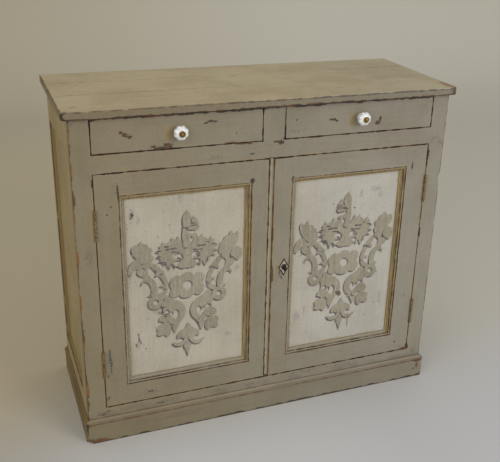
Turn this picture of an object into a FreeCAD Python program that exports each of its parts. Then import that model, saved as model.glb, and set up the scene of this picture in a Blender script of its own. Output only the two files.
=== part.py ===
import FreeCAD, Part
import math
import os
from types import SimpleNamespace

import Sketcher

# A painted pine cupboard: two drawers over two framed doors, on a mitred plinth, under a plank top.
#
# Frame: millimetres, +Z up, the front faces -Y, +X to the right of someone who faces it.
# The origin is on the floor, under the middle of the whole object with its knobs.

# ------------------------------------------------------------------ driving dimensions

DIMENSIONS = (
    ("carcass_width", 1040, "across the two side frames"),
    ("carcass_depth", 408, "face of the front frame to the back boards"),
    ("total_height", 938, "floor to the upper face of the top"),
    ("top_thickness", 20, "top planks"),
    ("top_overhang", 16, "top beyond the carcass at the front and both ends"),
    ("top_corner_radius", 14, "front corners of the top, seen from above"),
    ("top_back_radius", 6, "back corners of the top, seen from above"),
    ("top_arris_radius", 2, "softened edges of the top"),
    ("front_plank_width", 164, "front plank of the top, overhang included"),
    ("middle_plank_width", 138, "middle plank of the top"),
    ("stile_width", 49, "front frame stiles, seen from the front"),
    ("frame_thickness", 24, "front frame, front to back"),
    ("tenon_length", 32, "tenons of rails into stiles"),
    ("tenon_thickness", 7, "tenons, panels' grooves and panels"),
    ("side_thickness", 22, "side frames"),
    ("side_stile_width", 48, "front stile of a side frame, behind the front frame"),
    ("side_back_stile_width", 22, "back stile of a side frame"),
    ("side_top_rail_bottom", 814, "lower edge of a side frame's top rail"),
    ("side_bottom_rail_top", 125, "upper edge of a side frame's bottom rail"),
    ("side_recess", 11, "side panels behind the face of the side frame"),
    ("bottom_rail_top", 105, "lower edge of the door opening"),
    ("middle_rail_bottom", 778.5, "upper edge of the door opening"),
    ("middle_rail_top", 826, "the drawers run level with this"),
    ("muntin_centre", -1.5, "upright between the drawers, from the middle"),
    ("muntin_width", 60, "upright between the drawers"),
    ("plinth_height", 76, "skirting, cove included"),
    ("plinth_face", 7.5, "face of the skirting beyond the carcass"),
    ("plinth_nose", 9, "nosing of the skirting beyond the carcass"),
    ("cove_radius", 7.5, "cove on top of the skirting"),
    ("door_gap", 2, "round every door and drawer front"),
    ("front_set", 0.5, "doors and drawer fronts are thinner than the frame by this"),
    ("meeting_line", -11, "middle of the gap between the doors"),
    ("left_meeting_stile", 47.5, "left door's stile at the meeting line"),
    ("right_meeting_stile", 65.5, "right door's stile at the meeting line, bead included"),
    ("meeting_bead", 12, "bead worked on the edge of the right door"),
    ("door_opening_width", 350, "between the stiles of each door"),
    ("door_bottom_rail", 61, "bottom rail of each door"),
    ("door_top_rail", 60.5, "top rail of each door"),
    ("panel_tongue", 8, "edge of a panel inside its groove"),
    ("panel_recess", 12.5, "door panels behind the face of the doors"),
    ("moulding_width", 15, "mitred moulding round the door panels"),
    ("drawer_front_height", 86, "drawer fronts"),
    ("drawer_length", 374, "drawer front to drawer back, outside"),
    ("drawer_side_thickness", 12, "drawer sides and backs"),
    ("drawer_side_height", 68, "drawer sides"),
    ("drawer_bottom_thickness", 6, "drawer bottoms"),
    ("drawer_lap", 6, "wood left in front of the dovetails"),
    ("tail_wide", 15, "dovetail at its wide end"),
    ("tail_narrow", 9.4, "dovetail at its root"),
    ("knob_diameter", 38, "lobed knob"),
    ("knob_height", 31, "lobed knob, out from the drawer front"),
    ("knob_reach", 36, "knob and its dome-headed bolt"),
    ("knob_offset", -2.5, "knobs from the middle of their drawer"),
    ("board_thickness", 18, "floor board and shelf"),
    ("floor_top", 112, "upper face of the floor board, which stops the doors"),
    ("shelf_top", 458, "upper face of the shelf"),
    ("back_thickness", 10, "back boards"),
    ("back_board_bottom", 30, "lower edge of the back boards"),
    ("hinge_length", 80, "butt hinges"),
    ("hinge_upper", 645, "middle of the upper hinges"),
    ("hinge_lower", 243, "middle of the lower hinges"),
    ("knuckle_radius", 3.3, "hinge barrels"),
    ("hinge_pin_radius", 1.6, "hinge pins"),
    ("hinge_pin_out", 3.6, "hinge pins in front of the door's face"),
    ("leaf_width", 20, "hinge leaves, into the wood"),
    ("leaf_thickness", 1.6, "hinge leaves"),
    ("escutcheon_x", 39.5, "middle of the lozenge round the keyhole"),
    ("escutcheon_z", 456.5, "middle of the lozenge round the keyhole"),
    ("lock_throw", 12, "travel of the lock's bolt"),
    ("door_bolt_x", -38, "middle of the bolt inside the left door"),
    ("door_bolt_throw", 14, "travel of the bolt inside the left door"),
    ("arris_radius", 1.2, "softened front edges of the doors and drawer fronts"),
    ("worn_arris_radius", 2.4, "worn outer corners of the front stiles"),
    ("plinth_left_corner", 16, "foot of the skirting's left corner, kicked round"),
    ("plinth_right_corner", 3, "skirting's right corner, seen from above"),
)

doc = FreeCAD.newDocument("jelly_cupboard")
sheet = doc.addObject("Spreadsheet::Sheet", "Dims")
for row, (alias, value, note) in enumerate(DIMENSIONS, start=1):
    sheet.set(f"A{row}", note)
    sheet.set(f"B{row}", str(value))
    sheet.setAlias(f"B{row}", alias)
doc.recompute()


class Size:
    """A length that knows its number and the sheet expression that gives it."""

    def __init__(self, number, text=None):
        self.number = float(number)
        self.text = text or repr(float(number))

    def _join(self, sign, other, number):
        return Size(number, f"({self.text} {sign} {other.text})")

    def __add__(self, other):
        other = as_size(other)
        return self._join("+", other, self.number + other.number)

    def __sub__(self, other):
        other = as_size(other)
        return self._join("-", other, self.number - other.number)

    def __mul__(self, other):
        other = as_size(other)
        return self._join("*", other, self.number * other.number)

    def __truediv__(self, other):
        other = as_size(other)
        return self._join("/", other, self.number / other.number)

    def __radd__(self, other):
        return as_size(other) + self

    def __rsub__(self, other):
        return as_size(other) - self

    def __rmul__(self, other):
        return as_size(other) * self

    def __neg__(self):
        return as_size(0) - self


def as_size(value):
    return value if isinstance(value, Size) else Size(value)


dim = SimpleNamespace(**{alias: Size(value, f"Dims.{alias}") for alias, value, _ in DIMENSIONS})

# Planes that many pieces share.
FRONT = (dim.knob_reach - dim.carcass_depth) / 2
BACK = (dim.knob_reach + dim.carcass_depth) / 2
FRAME_BACK = FRONT + dim.frame_thickness
DOOR_BACK = FRAME_BACK - dim.front_set
SIDE = dim.carcass_width / 2
SIDE_INSIDE = SIDE - dim.side_thickness
OPENING = SIDE - dim.stile_width
CARCASS_TOP = dim.total_height - dim.top_thickness
GROOVE = (FRONT + dim.panel_recess, FRONT + dim.panel_recess + dim.tenon_thickness)
BOARDS_FRONT = BACK - dim.back_thickness

FIT = 0.4            # air round a sliding bolt
HAUNCH = 12          # tenons are narrower than their rails by this
PAST = 1             # cutters reach this far past what they cut
CLOSE = 0.01         # two places this near are the same place
FULL = (Size(0), CARCASS_TOP)

# ------------------------------------------------------------------ building blocks

nodes = []


def node(label, piece):
    """Name a finished piece and list it for export."""
    piece.Label = label
    nodes.append(piece)
    return piece


def bind(piece, prop, size):
    piece.setExpression(prop, as_size(size).text)


def board(x, y, z, name="board"):
    """A rectangular solid between three pairs of coordinates."""
    box = doc.addObject("Part::Box", name)
    for prop, axis, (low, high) in zip(("Length", "Width", "Height"), "xyz", (x, y, z)):
        bind(box, prop, as_size(high) - low)
        bind(box, f"Placement.Base.{axis}", low)
    return box


def rod(radius, centre, length, axis="z", name="rod"):
    """A cylinder along +X, +Y or +Z from its centre point."""
    cylinder = doc.addObject("Part::Cylinder", name)
    turns = {"z": FreeCAD.Rotation(), "y": FreeCAD.Rotation(FreeCAD.Vector(1, 0, 0), -90),
             "x": FreeCAD.Rotation(FreeCAD.Vector(0, 1, 0), 90)}
    cylinder.Placement = FreeCAD.Placement(FreeCAD.Vector(), turns[axis])
    bind(cylinder, "Radius", radius)
    bind(cylinder, "Height", length)
    for letter, place in zip("xyz", centre):
        bind(cylinder, f"Placement.Base.{letter}", place)
    return cylinder


def fuse(pieces, name="joined"):
    union = doc.addObject("Part::MultiFuse", name)
    union.Shapes = pieces
    return union


def cut(base, tools, name="shaped"):
    difference = doc.addObject("Part::Cut", name)
    difference.Base = base
    difference.Tool = tools[0] if len(tools) == 1 else fuse(tools, "cutters")
    return difference


def group(pieces, name="set"):
    """Separate solids that share one node."""
    compound = doc.addObject("Part::Compound", name)
    compound.Links = pieces
    return compound


def mirrored(pair):
    """The same stretch on the other side of the middle."""
    low, high = pair
    return (-as_size(high), -as_size(low))


def arc_edge(start, end, radius):
    """Arc between two points; a positive radius turns left, and the second value tells the way."""
    chord = end - start
    side = FreeCAD.Vector(-chord.y, chord.x, 0).normalize()
    height = math.sqrt(radius ** 2 - (chord.Length / 2) ** 2)
    centre = start + chord * 0.5 + side * math.copysign(height, radius)
    circle = Part.Circle(centre, FreeCAD.Vector(0, 0, 1), abs(radius))
    angles = [math.atan2((point - centre).y, (point - centre).x) for point in (start, end)]
    if radius < 0:
        angles.reverse()
    return Part.ArcOfCircle(circle, *angles), radius > 0


def outline(owner, plane, points, name="outline"):
    """A closed sketch: (x, y) points, and (x, y, radius) where an arc leaves for the next point."""
    sketch = owner.newObject("Sketcher::SketchObject", name)
    origin_plane = next(item for item in owner.Origin.OriginFeatures if item.Role == plane)
    sketch.AttachmentSupport = [(origin_plane, "")]
    sketch.MapMode = "FlatFace"
    corners = [FreeCAD.Vector(as_size(p[0]).number, as_size(p[1]).number, 0) for p in points]
    ends = []
    for index, point in enumerate(points):
        start, end = corners[index], corners[(index + 1) % len(points)]
        if len(point) == 3:
            edge, forward = arc_edge(start, end, as_size(point[2]).number)
        else:
            edge, forward = Part.LineSegment(start, end), True
        sketch.addGeometry(edge)
        ends.append((1, 2) if forward else (2, 1))
    for index, point in enumerate(points):
        following = (index + 1) % len(points)
        sketch.addConstraint(
            Sketcher.Constraint("Coincident", index, ends[index][1], following, ends[following][0]))
        for kind, place in (("DistanceX", point[0]), ("DistanceY", point[1])):
            place = as_size(place)
            key = sketch.addConstraint(
                Sketcher.Constraint(kind, -1, 1, index, ends[index][0], place.number))
            sketch.setExpression(f"Constraints[{key}]", place.text)
        if len(point) == 3:
            radius = as_size(point[2])
            if radius.number < 0:
                radius = -radius
            key = sketch.addConstraint(Sketcher.Constraint("Radius", index, radius.number))
            sketch.setExpression(f"Constraints[{key}]", radius.text)
    return sketch


def pad(plane, points, length, name):
    """A PartDesign body: one outline, padded by a length."""
    body = doc.addObject("PartDesign::Body", name)
    sketch = outline(body, plane, points)
    feature = body.newObject("PartDesign::Pad", "Pad")
    feature.Profile = sketch
    bind(feature, "Length", length)
    return body


def place(piece, x=0, y=0, z=0):
    for axis, value in zip("xyz", (x, y, z)):
        bind(piece, f"Placement.Base.{axis}", value)
    return piece


def edges_where(shape, test):
    """Names of the edges whose every sampled point passes a test."""
    names = []
    for index, edge in enumerate(shape.Edges, start=1):
        if all(test(point) for point in edge.discretize(3)):
            names.append(f"Edge{index}")
    return names


def fillet(body, base, radius, names):
    feature = body.newObject("PartDesign::Fillet", "Fillet")
    feature.Base = (base, names)
    bind(feature, "Radius", radius)
    return feature


def eased(base, radius, x=(), z=()):
    """Round the edges between a piece's front face and its sides at the given x and z."""
    base.recompute(True)
    rounded = doc.addObject("Part::Fillet", "eased")
    rounded.Base = base
    chosen = []
    for index, edge in enumerate(base.Shape.Edges, start=1):
        middle = edge.CenterOfMass
        sides = [middle.x - as_size(place).number for place in x]
        sides += [middle.z - as_size(place).number for place in z]
        if abs(middle.y - FRONT.number) < CLOSE and min(abs(side) for side in sides) < CLOSE:
            chosen.append((index, radius.number, radius.number))
    rounded.Edges = chosen
    return rounded


def slant(corner, angle, axis, name="mitre"):
    """A block whose one face passes through a corner and slopes by an angle, to cut a mitre with."""
    block = doc.addObject("Part::Box", name)
    across = 120.0
    for prop in ("Length", "Width", "Height"):
        bind(block, prop, across)
    turn = FreeCAD.Rotation(axis, angle)
    shift = turn.multVec(FreeCAD.Vector(0, -across / 2, -across / 2))
    block.Placement = FreeCAD.Placement(FreeCAD.Vector(), turn)
    return place(block, *(as_size(value) + offset for value, offset in zip(corner, shift)))


# ------------------------------------------------------------------ top


def top_plank(label, y_low, y_high, front_corner=None, back_corner=None):
    """One plank of the top; its ends, and the front one's long edge, are softened."""
    body = doc.addObject("PartDesign::Body", label)
    half = SIDE + dim.top_overhang
    front, back = ((-half, y_low), (half, y_low)), ((half, y_high), (-half, y_high))
    if front_corner:
        front = ((-half, y_low + front_corner, front_corner), (-half + front_corner, y_low),
                 (half - front_corner, y_low, front_corner), (half, y_low + front_corner))
    if back_corner:
        back = ((half, y_high - back_corner, back_corner), (half - back_corner, y_high),
                (-half + back_corner, y_high, back_corner), (-half, y_high - back_corner))
    points = front + back
    blank = body.newObject("PartDesign::Pad", "Pad")
    blank.Profile = outline(body, "XY_Plane", points)
    bind(blank, "Length", dim.top_thickness)
    doc.recompute()

    def is_outer(point):
        on_face = min(abs(point.z), abs(point.z - dim.top_thickness.number)) < CLOSE
        at_end = abs(point.x) > half.number - CLOSE
        at_front = front_corner and point.y < (y_low + front_corner).number + CLOSE
        return on_face and (at_end or at_front)

    fillet(body, blank, dim.top_arris_radius, edges_where(blank.Shape, is_outer))
    return node(label, place(body, z=CARCASS_TOP))


top_low = FRONT - dim.top_overhang
seam_one = top_low + dim.front_plank_width
seam_two = seam_one + dim.middle_plank_width
top_plank("top_plank_front", top_low, seam_one, front_corner=dim.top_corner_radius)
top_plank("top_plank_middle", seam_one, seam_two)
top_plank("top_plank_back", seam_two, BACK, back_corner=dim.top_back_radius)

# ------------------------------------------------------------------ hinge blanks, which the wood is cut for


def hinge_blank(side_sign, edge_x, toward_frame, centre_z):
    """One leaf's plate: it lies in the edge of the stile, and reaches forward to the pin."""
    if toward_frame == (side_sign < 0):
        x = (edge_x - dim.leaf_thickness, edge_x)
    else:
        x = (edge_x, edge_x + dim.leaf_thickness)
    half = dim.hinge_length / 2
    return board(x, (FRONT - dim.hinge_pin_out, FRONT + dim.leaf_width),
                 (centre_z - half, centre_z + half), "leaf")


HINGE_LEVELS = (dim.hinge_upper, dim.hinge_lower)
frame_leaf_blanks, door_leaf_blanks = {}, {}
for sign in (-1, 1):
    frame_edge = sign * OPENING
    door_edge = sign * (OPENING - dim.door_gap)
    frame_leaf_blanks[sign] = [hinge_blank(sign, frame_edge, True, level) for level in HINGE_LEVELS]
    door_leaf_blanks[sign] = [hinge_blank(sign, door_edge, False, level) for level in HINGE_LEVELS]

# ------------------------------------------------------------------ front frame

front_y = (FRONT, FRAME_BACK)
tenon_y = GROOVE
rail_ends = (-OPENING - dim.tenon_length, OPENING + dim.tenon_length)
muntin_x = (dim.muntin_centre - dim.muntin_width / 2, dim.muntin_centre + dim.muntin_width / 2)
BOTTOM_RAIL_LOW = 20
MIDDLE_SHOULDER = 6
MUNTIN_TENON = 20

middle_tenon = board(rail_ends, tenon_y,
                     (dim.middle_rail_bottom + MIDDLE_SHOULDER, dim.middle_rail_top - MIDDLE_SHOULDER))
bottom_tenon = board(rail_ends, tenon_y, (BOTTOM_RAIL_LOW + HAUNCH, dim.bottom_rail_top - HAUNCH))
muntin_tenon = board((muntin_x[0] + HAUNCH, muntin_x[1] - HAUNCH), tenon_y,
                     (dim.middle_rail_top - MUNTIN_TENON, dim.middle_rail_top + PAST))
middle_rail = board((-OPENING, OPENING), front_y, (dim.middle_rail_bottom, dim.middle_rail_top))
bottom_rail = board((-OPENING, OPENING), front_y, (BOTTOM_RAIL_LOW, dim.bottom_rail_top))
muntin = board(muntin_x, front_y, (dim.middle_rail_top, CARCASS_TOP))

# Places knocked out of the right stile's outer corner: height, depth at the middle, length.
CHIPS = ((686, 2, 26), (668, 5.5, 44), (640, 2.5, 34), (531, 3, 30), (149, 2, 20))
CHIP_REACH = 40            # cutters' length across the corner


def chip(level, depth, length):
    """A shallow scoop across the corner, cut at 45 degrees to both of its faces."""
    radius = (length ** 2 / 4 + depth ** 2) / (2 * depth)
    scoop = rod(radius, (0, 0, 0), CHIP_REACH, "x", "chip")
    scoop.Placement = FreeCAD.Placement(
        FreeCAD.Vector(), FreeCAD.Rotation(FreeCAD.Vector(0, 0, 1), 45).multiply(scoop.Placement.Rotation))
    outward, along = (radius - depth) / math.sqrt(2), CHIP_REACH / 2 / math.sqrt(2)
    return place(scoop, SIDE + outward - along, FRONT - outward - along, level)


node("middle_rail", cut(fuse([middle_rail, middle_tenon]), [muntin_tenon]))
node("bottom_rail", fuse([bottom_rail, bottom_tenon]))
node("drawer_muntin", fuse([muntin, muntin_tenon]))
for side_name, sign, x in (("left", -1, (-SIDE, -OPENING)), ("right", 1, (OPENING, SIDE))):
    stile = eased(board(x, front_y, FULL), dim.worn_arris_radius, x=[sign * SIDE])
    chips = [chip(*place_and_size) for place_and_size in CHIPS] if sign > 0 else []
    node(f"front_stile_{side_name}",
         cut(stile, [middle_tenon, bottom_tenon] + frame_leaf_blanks[sign] + chips))

TOP_RAIL = 18
TOP_RAIL_DEPTH = 50
top_rail_z = (CARCASS_TOP - TOP_RAIL, CARCASS_TOP)
node("top_rail", board((-SIDE_INSIDE, SIDE_INSIDE), (FRAME_BACK, FRAME_BACK + TOP_RAIL_DEPTH), top_rail_z))

# ------------------------------------------------------------------ side frames

SIDE_RAIL_LOW = 40
side_front_y = (FRAME_BACK, FRAME_BACK + dim.side_stile_width)
side_back_y = (BACK - dim.side_back_stile_width, BACK)
between_y = (side_front_y[1], side_back_y[0])
side_groove = (-SIDE + dim.side_recess, -SIDE + dim.side_recess + dim.tenon_thickness)
side_rails_z = {"top": (dim.side_top_rail_bottom, CARCASS_TOP),
                "bottom": (Size(SIDE_RAIL_LOW), dim.side_bottom_rail_top)}
BACK_TENON = 12
REBATE_LEFT = 12       # wood outside the rebate that takes the back boards
back_rebate_x = SIDE - REBATE_LEFT


def side_frame(side_name):
    """A framed side: two stiles, two rails and a panel set well back."""
    flip = (lambda pair: pair) if side_name == "left" else mirrored
    wall_x = flip((-SIDE, -SIDE_INSIDE))
    groove_x = flip(side_groove)
    tongue = dim.panel_tongue
    panel = board(groove_x, (between_y[0] - tongue, between_y[1] + tongue),
                  (dim.side_bottom_rail_top - tongue, dim.side_top_rail_bottom + tongue))
    tenons, rails = [], []
    for low, high in side_rails_z.values():
        tenon = board(groove_x, (between_y[0] - dim.tenon_length, between_y[1] + BACK_TENON),
                      (low + HAUNCH, high - HAUNCH))
        tenons.append(tenon)
        rails.append(cut(fuse([board(wall_x, between_y, (low, high)), tenon]), [panel]))
    back_boards_place = board(flip((-back_rebate_x, -SIDE_INSIDE)), (BOARDS_FRONT, BACK),
                              (dim.back_board_bottom, CARCASS_TOP))
    node(f"side_{side_name}_front_stile", cut(board(wall_x, side_front_y, FULL), tenons + [panel]))
    node(f"side_{side_name}_back_stile",
         cut(board(wall_x, side_back_y, FULL), tenons + [panel, back_boards_place]))
    node(f"side_{side_name}_rails", group(rails))
    node(f"side_{side_name}_panel", panel)


side_frame("left")
side_frame("right")

# ------------------------------------------------------------------ plinth

UP = FreeCAD.Vector(0, 0, 1)
ACROSS = FreeCAD.Vector(0, 1, 0)
NOSE_SLOPE = 2         # from the face out to the nosing
NOSE_FLAT = 6          # the nosing's upright part
COVE_LIP = 1           # above the cove
mid_plinth = dim.plinth_height / 2


def skirting(length, name):
    """Skirting board along +X, its back on the plane y = 0: flat face, nosing and cove."""
    top, nose, face, cove = dim.plinth_height, dim.plinth_nose, dim.plinth_face, dim.cove_radius
    nose_top = top - cove - COVE_LIP
    nose_low = nose_top - NOSE_FLAT
    points = ((0, 0), (-face, 0), (-face, nose_low - NOSE_SLOPE), (-nose, nose_low),
              (-nose, nose_top, cove), (cove - nose, top - COVE_LIP), (cove - nose, top), (0, top))
    return pad("YZ_Plane", points, length, name)


def corner_square(sign, radius):
    """The square column at a corner of the skirting that its wear stays inside, and its inner corner."""
    edge_x, edge_y = SIDE + dim.plinth_nose, FRONT - dim.plinth_nose
    x = (edge_x - radius, edge_x + PAST)
    column = board(x if sign > 0 else mirrored(x), (edge_y - PAST, edge_y + radius),
                   (-PAST, dim.plinth_height + PAST))
    return column, (sign * (edge_x - radius), edge_y + radius)


def rounded_corner(sign, radius):
    """What a corner of the skirting lost when it wore to a quarter round."""
    column, (x, y) = corner_square(sign, radius)
    return cut(column, [rod(radius, (x, y, -2 * PAST), dim.plinth_height + 4 * PAST)])


def kicked_corner(sign, radius):
    """What a corner lost at its foot: a ball stands there, and a cone widens up to the sharp nosing."""
    column, (x, y) = corner_square(sign, radius)
    ball = doc.addObject("Part::Sphere", "ball")
    bind(ball, "Radius", radius)
    cone = doc.addObject("Part::Cone", "cone")
    bind(cone, "Radius1", radius)
    bind(cone, "Radius2", radius * SQUARE_TO_ROUND)
    bind(cone, "Height", dim.plinth_height - radius)
    return cut(column, [place(ball, x, y, radius), place(cone, x, y, radius)])


SQUARE_TO_ROUND = 1.45     # just over the square root of two, so that the cone's top fills its square
lost_left = kicked_corner(-1, dim.plinth_left_corner)
lost_right = rounded_corner(1, dim.plinth_right_corner)
front_run = skirting(dim.carcass_width + 2 * dim.plinth_nose, "front_run")
place(front_run, x=-SIDE - dim.plinth_nose, y=FRONT)
right_mitre = slant((SIDE, FRONT, mid_plinth), 45, UP)
left_mitre = slant((-SIDE, FRONT, mid_plinth), 135, UP)
node("plinth_front", cut(front_run, [right_mitre, left_mitre, lost_left, lost_right]))

side_length = dim.carcass_depth + dim.plinth_nose
left_run = skirting(side_length, "left_run")
left_run.Placement = FreeCAD.Placement(FreeCAD.Vector(), FreeCAD.Rotation(UP, -90))
place(left_run, x=-SIDE, y=BACK)
node("plinth_left", cut(left_run, [slant((-SIDE, FRONT, mid_plinth), -45, UP), lost_left]))
right_run = skirting(side_length, "right_run")
right_run.Placement = FreeCAD.Placement(FreeCAD.Vector(), FreeCAD.Rotation(UP, 90))
place(right_run, x=SIDE, y=FRONT - dim.plinth_nose)
node("plinth_right", cut(right_run, [slant((SIDE, FRONT, mid_plinth), 225, UP), lost_right]))

# ------------------------------------------------------------------ back, floor, shelf and drawer framing

BACK_BOARDS = 6
TONGUE = 5
board_width = 2 * back_rebate_x / BACK_BOARDS
tongue_y = (BOARDS_FRONT + dim.back_thickness / 3, BACK - dim.back_thickness / 3)
back_z = (dim.back_board_bottom, CARCASS_TOP)
back_boards = []
last_tongue = None
for index in range(BACK_BOARDS):
    low = -back_rebate_x + board_width * index
    blank = board((low, low + board_width), (BOARDS_FRONT, BACK), back_z)
    if last_tongue:
        blank = cut(blank, [last_tongue])
    if index < BACK_BOARDS - 1:
        last_tongue = board((low + board_width - PAST, low + board_width + TONGUE), tongue_y, back_z)
        blank = fuse([blank, last_tongue])
    back_boards.append(blank)
node("back_boards", group(back_boards))

inside_x = (-SIDE_INSIDE, SIDE_INSIDE)
SHELF_SET = 40         # the shelf stands back from the front frame
shelf_y = (FRAME_BACK + SHELF_SET, BOARDS_FRONT)
node("floor_board", board(inside_x, (FRAME_BACK, BOARDS_FRONT),
                          (dim.floor_top - dim.board_thickness, dim.floor_top)))
node("shelf", board(inside_x, shelf_y, (dim.shelf_top - dim.board_thickness, dim.shelf_top)))

BEARER = 20
bearers = []
for level in (dim.floor_top, dim.shelf_top):
    under = level - dim.board_thickness
    stretch = (-SIDE_INSIDE, -SIDE_INSIDE + BEARER)
    for x in (stretch, mirrored(stretch)):
        bearers.append(board(x, shelf_y, (under - BEARER, under)))
node("board_bearers", group(bearers))

RUNNER_SHOW = 14       # runners reach this far under a drawer's side
GUIDE = 24             # height of the strips that steer the drawers
REAR_RAIL = 30
drawer_frame_y = (FRAME_BACK, BOARDS_FRONT)
runner_stretch = (-SIDE_INSIDE, -OPENING + RUNNER_SHOW)
centre_stretch = (muntin_x[0] - RUNNER_SHOW, muntin_x[1] + RUNNER_SHOW)
runner_z = (dim.middle_rail_top - BEARER, dim.middle_rail_top)
guide_z = (dim.middle_rail_top, dim.middle_rail_top + GUIDE)
node("drawer_runners", group([board(x, drawer_frame_y, runner_z)
                              for x in (runner_stretch, centre_stretch, mirrored(runner_stretch))]))
guide_stretch = (-SIDE_INSIDE, -OPENING)
node("drawer_guides", group([board(x, drawer_frame_y, guide_z)
                             for x in (guide_stretch, muntin_x, mirrored(guide_stretch))]))
kicker_y = (FRAME_BACK + TOP_RAIL_DEPTH, BOARDS_FRONT - REAR_RAIL)
rear_rail = board(inside_x, (BOARDS_FRONT - REAR_RAIL, BOARDS_FRONT), top_rail_z)
node("top_bearers", group([board(x, kicker_y, top_rail_z)
                           for x in (runner_stretch, centre_stretch, mirrored(runner_stretch))]
                          + [rear_rail]))

# ------------------------------------------------------------------ doors

door_z = (dim.bottom_rail_top + dim.door_gap, dim.middle_rail_bottom - dim.door_gap)
door_y = (FRONT, DOOR_BACK)
rail_levels = {"bottom": (door_z[0], door_z[0] + dim.door_bottom_rail),
               "top": (door_z[1] - dim.door_top_rail, door_z[1])}
panel_z = (rail_levels["bottom"][1], rail_levels["top"][0])
LEFT_MEETING = dim.meeting_line - dim.door_gap / 2
RIGHT_MEETING = dim.meeting_line + dim.door_gap / 2
left_inner = (LEFT_MEETING - dim.left_meeting_stile - dim.door_opening_width,
              LEFT_MEETING - dim.left_meeting_stile)
right_inner = (RIGHT_MEETING + dim.right_meeting_stile,
               RIGHT_MEETING + dim.right_meeting_stile + dim.door_opening_width)


MOULDING_DROP = 1.9        # the strip's outer edge behind the face of the door
MOULDING_BEAD = (1.2, 6.2)  # across the strip
BEAD_CURVE = 2.6
BEAD_STEP = 2.1            # from the bead down to the head of the cove
COVE_HEAD = 7.4
COVE_CURVE = 6.5
MOULDING_FOOT = 2.2        # thickness left at the inner edge
FOOT_FLAT = 1.2


def moulding_strip(length, name):
    """One strip along +X: outer edge on z = 0, back on the panel; bead, then a cove down to the panel."""
    width, crown = dim.moulding_width, MOULDING_DROP - dim.panel_recess
    points = ((0, 0), (crown, 0), (crown, MOULDING_BEAD[0], -BEAD_CURVE), (crown, MOULDING_BEAD[1]),
              (crown + BEAD_STEP, MOULDING_BEAD[1]), (crown + BEAD_STEP, COVE_HEAD, COVE_CURVE),
              (-MOULDING_FOOT, width - FOOT_FLAT), (-MOULDING_FOOT, width), (0, width))
    return pad("YZ_Plane", points, length, name)


def door_moulding(side_name, inner_x):
    """Four mitred strips round a panel."""
    width = dim.door_opening_width
    height = panel_z[1] - panel_z[0]
    panel_face = FRONT + dim.panel_recess
    corners = ((inner_x[0], panel_z[0]), (inner_x[1], panel_z[0]),
               (inner_x[1], panel_z[1]), (inner_x[0], panel_z[1]))
    strips = []
    for index, (x, z) in enumerate(corners):
        run = width if index % 2 == 0 else height
        strip = cut(moulding_strip(run, f"{side_name}_moulding"),
                    [slant((0, 0, 0), 135, ACROSS), slant((run, 0, 0), 45, ACROSS)])
        strip.Placement = FreeCAD.Placement(FreeCAD.Vector(), FreeCAD.Rotation(ACROSS, -90 * index))
        strips.append(place(strip, x=x, y=panel_face, z=z))
    node(f"{side_name}_door_moulding", group(strips))


BEAD_DROP = 4.6            # the bead's ends behind the face of the door
MEETING_CURVE = 6.2
QUIRK = (0.6, 1.2)         # the groove beside the bead, at its floor and at the face


def beaded_stile(x, z):
    """The right door's meeting stile: a bead and its quirk on the edge at the meeting line."""
    edge, bead_end = x[0], x[0] + dim.meeting_bead
    points = ((bead_end + QUIRK[1], FRONT), (x[1], FRONT), (x[1], DOOR_BACK), (edge, DOOR_BACK),
              (edge, FRONT + BEAD_DROP, -MEETING_CURVE), (bead_end - QUIRK[0], FRONT + BEAD_DROP))
    stile = pad("XY_Plane", points, z[1] - z[0], "beaded_stile")
    return place(stile, z=z[0])


KEYHOLE_RADIUS = 3.2
KEYHOLE_SLOT = (3.4, 10)   # width, and length below the middle of the round hole
KEYHOLE_AT = (1.5, -2)     # the round hole's middle from the middle of the lozenge
WOOD_KEYHOLE_AIR = 1       # the hole in the wood is this much larger all round


def keyhole(y, air=0.0):
    """A round hole with a slot below it, as a cutter."""
    x, z = dim.escutcheon_x + KEYHOLE_AT[0], dim.escutcheon_z + KEYHOLE_AT[1]
    half = KEYHOLE_SLOT[0] / 2 + air
    return [rod(KEYHOLE_RADIUS + air, (x, y[0], z), y[1] - y[0], "y"),
            board((x - half, x + half), y, (z - KEYHOLE_SLOT[1] - air, z))]


def door(side_name, sign, outer_x, inner_x):
    """A framed door: stiles over tenoned rails, a panel in a groove, and a mitred moulding."""
    tongue = dim.panel_tongue
    panel = board((inner_x[0] - tongue, inner_x[1] + tongue), GROOVE,
                  (panel_z[0] - tongue, panel_z[1] + tongue))
    tenons, rails = [], []
    for name, (low, high) in rail_levels.items():
        trimmed = (low + HAUNCH, high) if name == "bottom" else (low, high - HAUNCH)
        tenon = board((inner_x[0] - dim.tenon_length, inner_x[1] + dim.tenon_length), GROOVE, trimmed)
        tenons.append(tenon)
        rail = eased(board(inner_x, door_y, (low, high)), dim.arris_radius,
                     z=[low if name == "bottom" else high])
        rails.append(cut(fuse([rail, tenon]), [panel]))
    low_x, high_x = (outer_x[0], inner_x[0]), (inner_x[1], outer_x[1])
    hinge_x, meeting_x = (low_x, high_x) if sign < 0 else (high_x, low_x)
    joints = tenons + [panel]
    hinge_stile = eased(board(hinge_x, door_y, door_z), dim.arris_radius,
                        x=[outer_x[0 if sign < 0 else 1]], z=door_z)
    node(f"{side_name}_door_hinge_stile", cut(hinge_stile, joints + door_leaf_blanks[sign]))
    if sign < 0:
        square = eased(board(meeting_x, door_y, door_z), dim.arris_radius, x=[outer_x[1]], z=door_z)
        meeting = cut(square, joints)
    else:
        through = keyhole((FRONT - PAST, DOOR_BACK + PAST), WOOD_KEYHOLE_AIR)
        meeting = cut(beaded_stile(meeting_x, door_z), joints + through)
    node(f"{side_name}_door_meeting_stile", meeting)
    node(f"{side_name}_door_rails", group(rails))
    node(f"{side_name}_door_panel", panel)
    door_moulding(side_name, inner_x)


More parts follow.
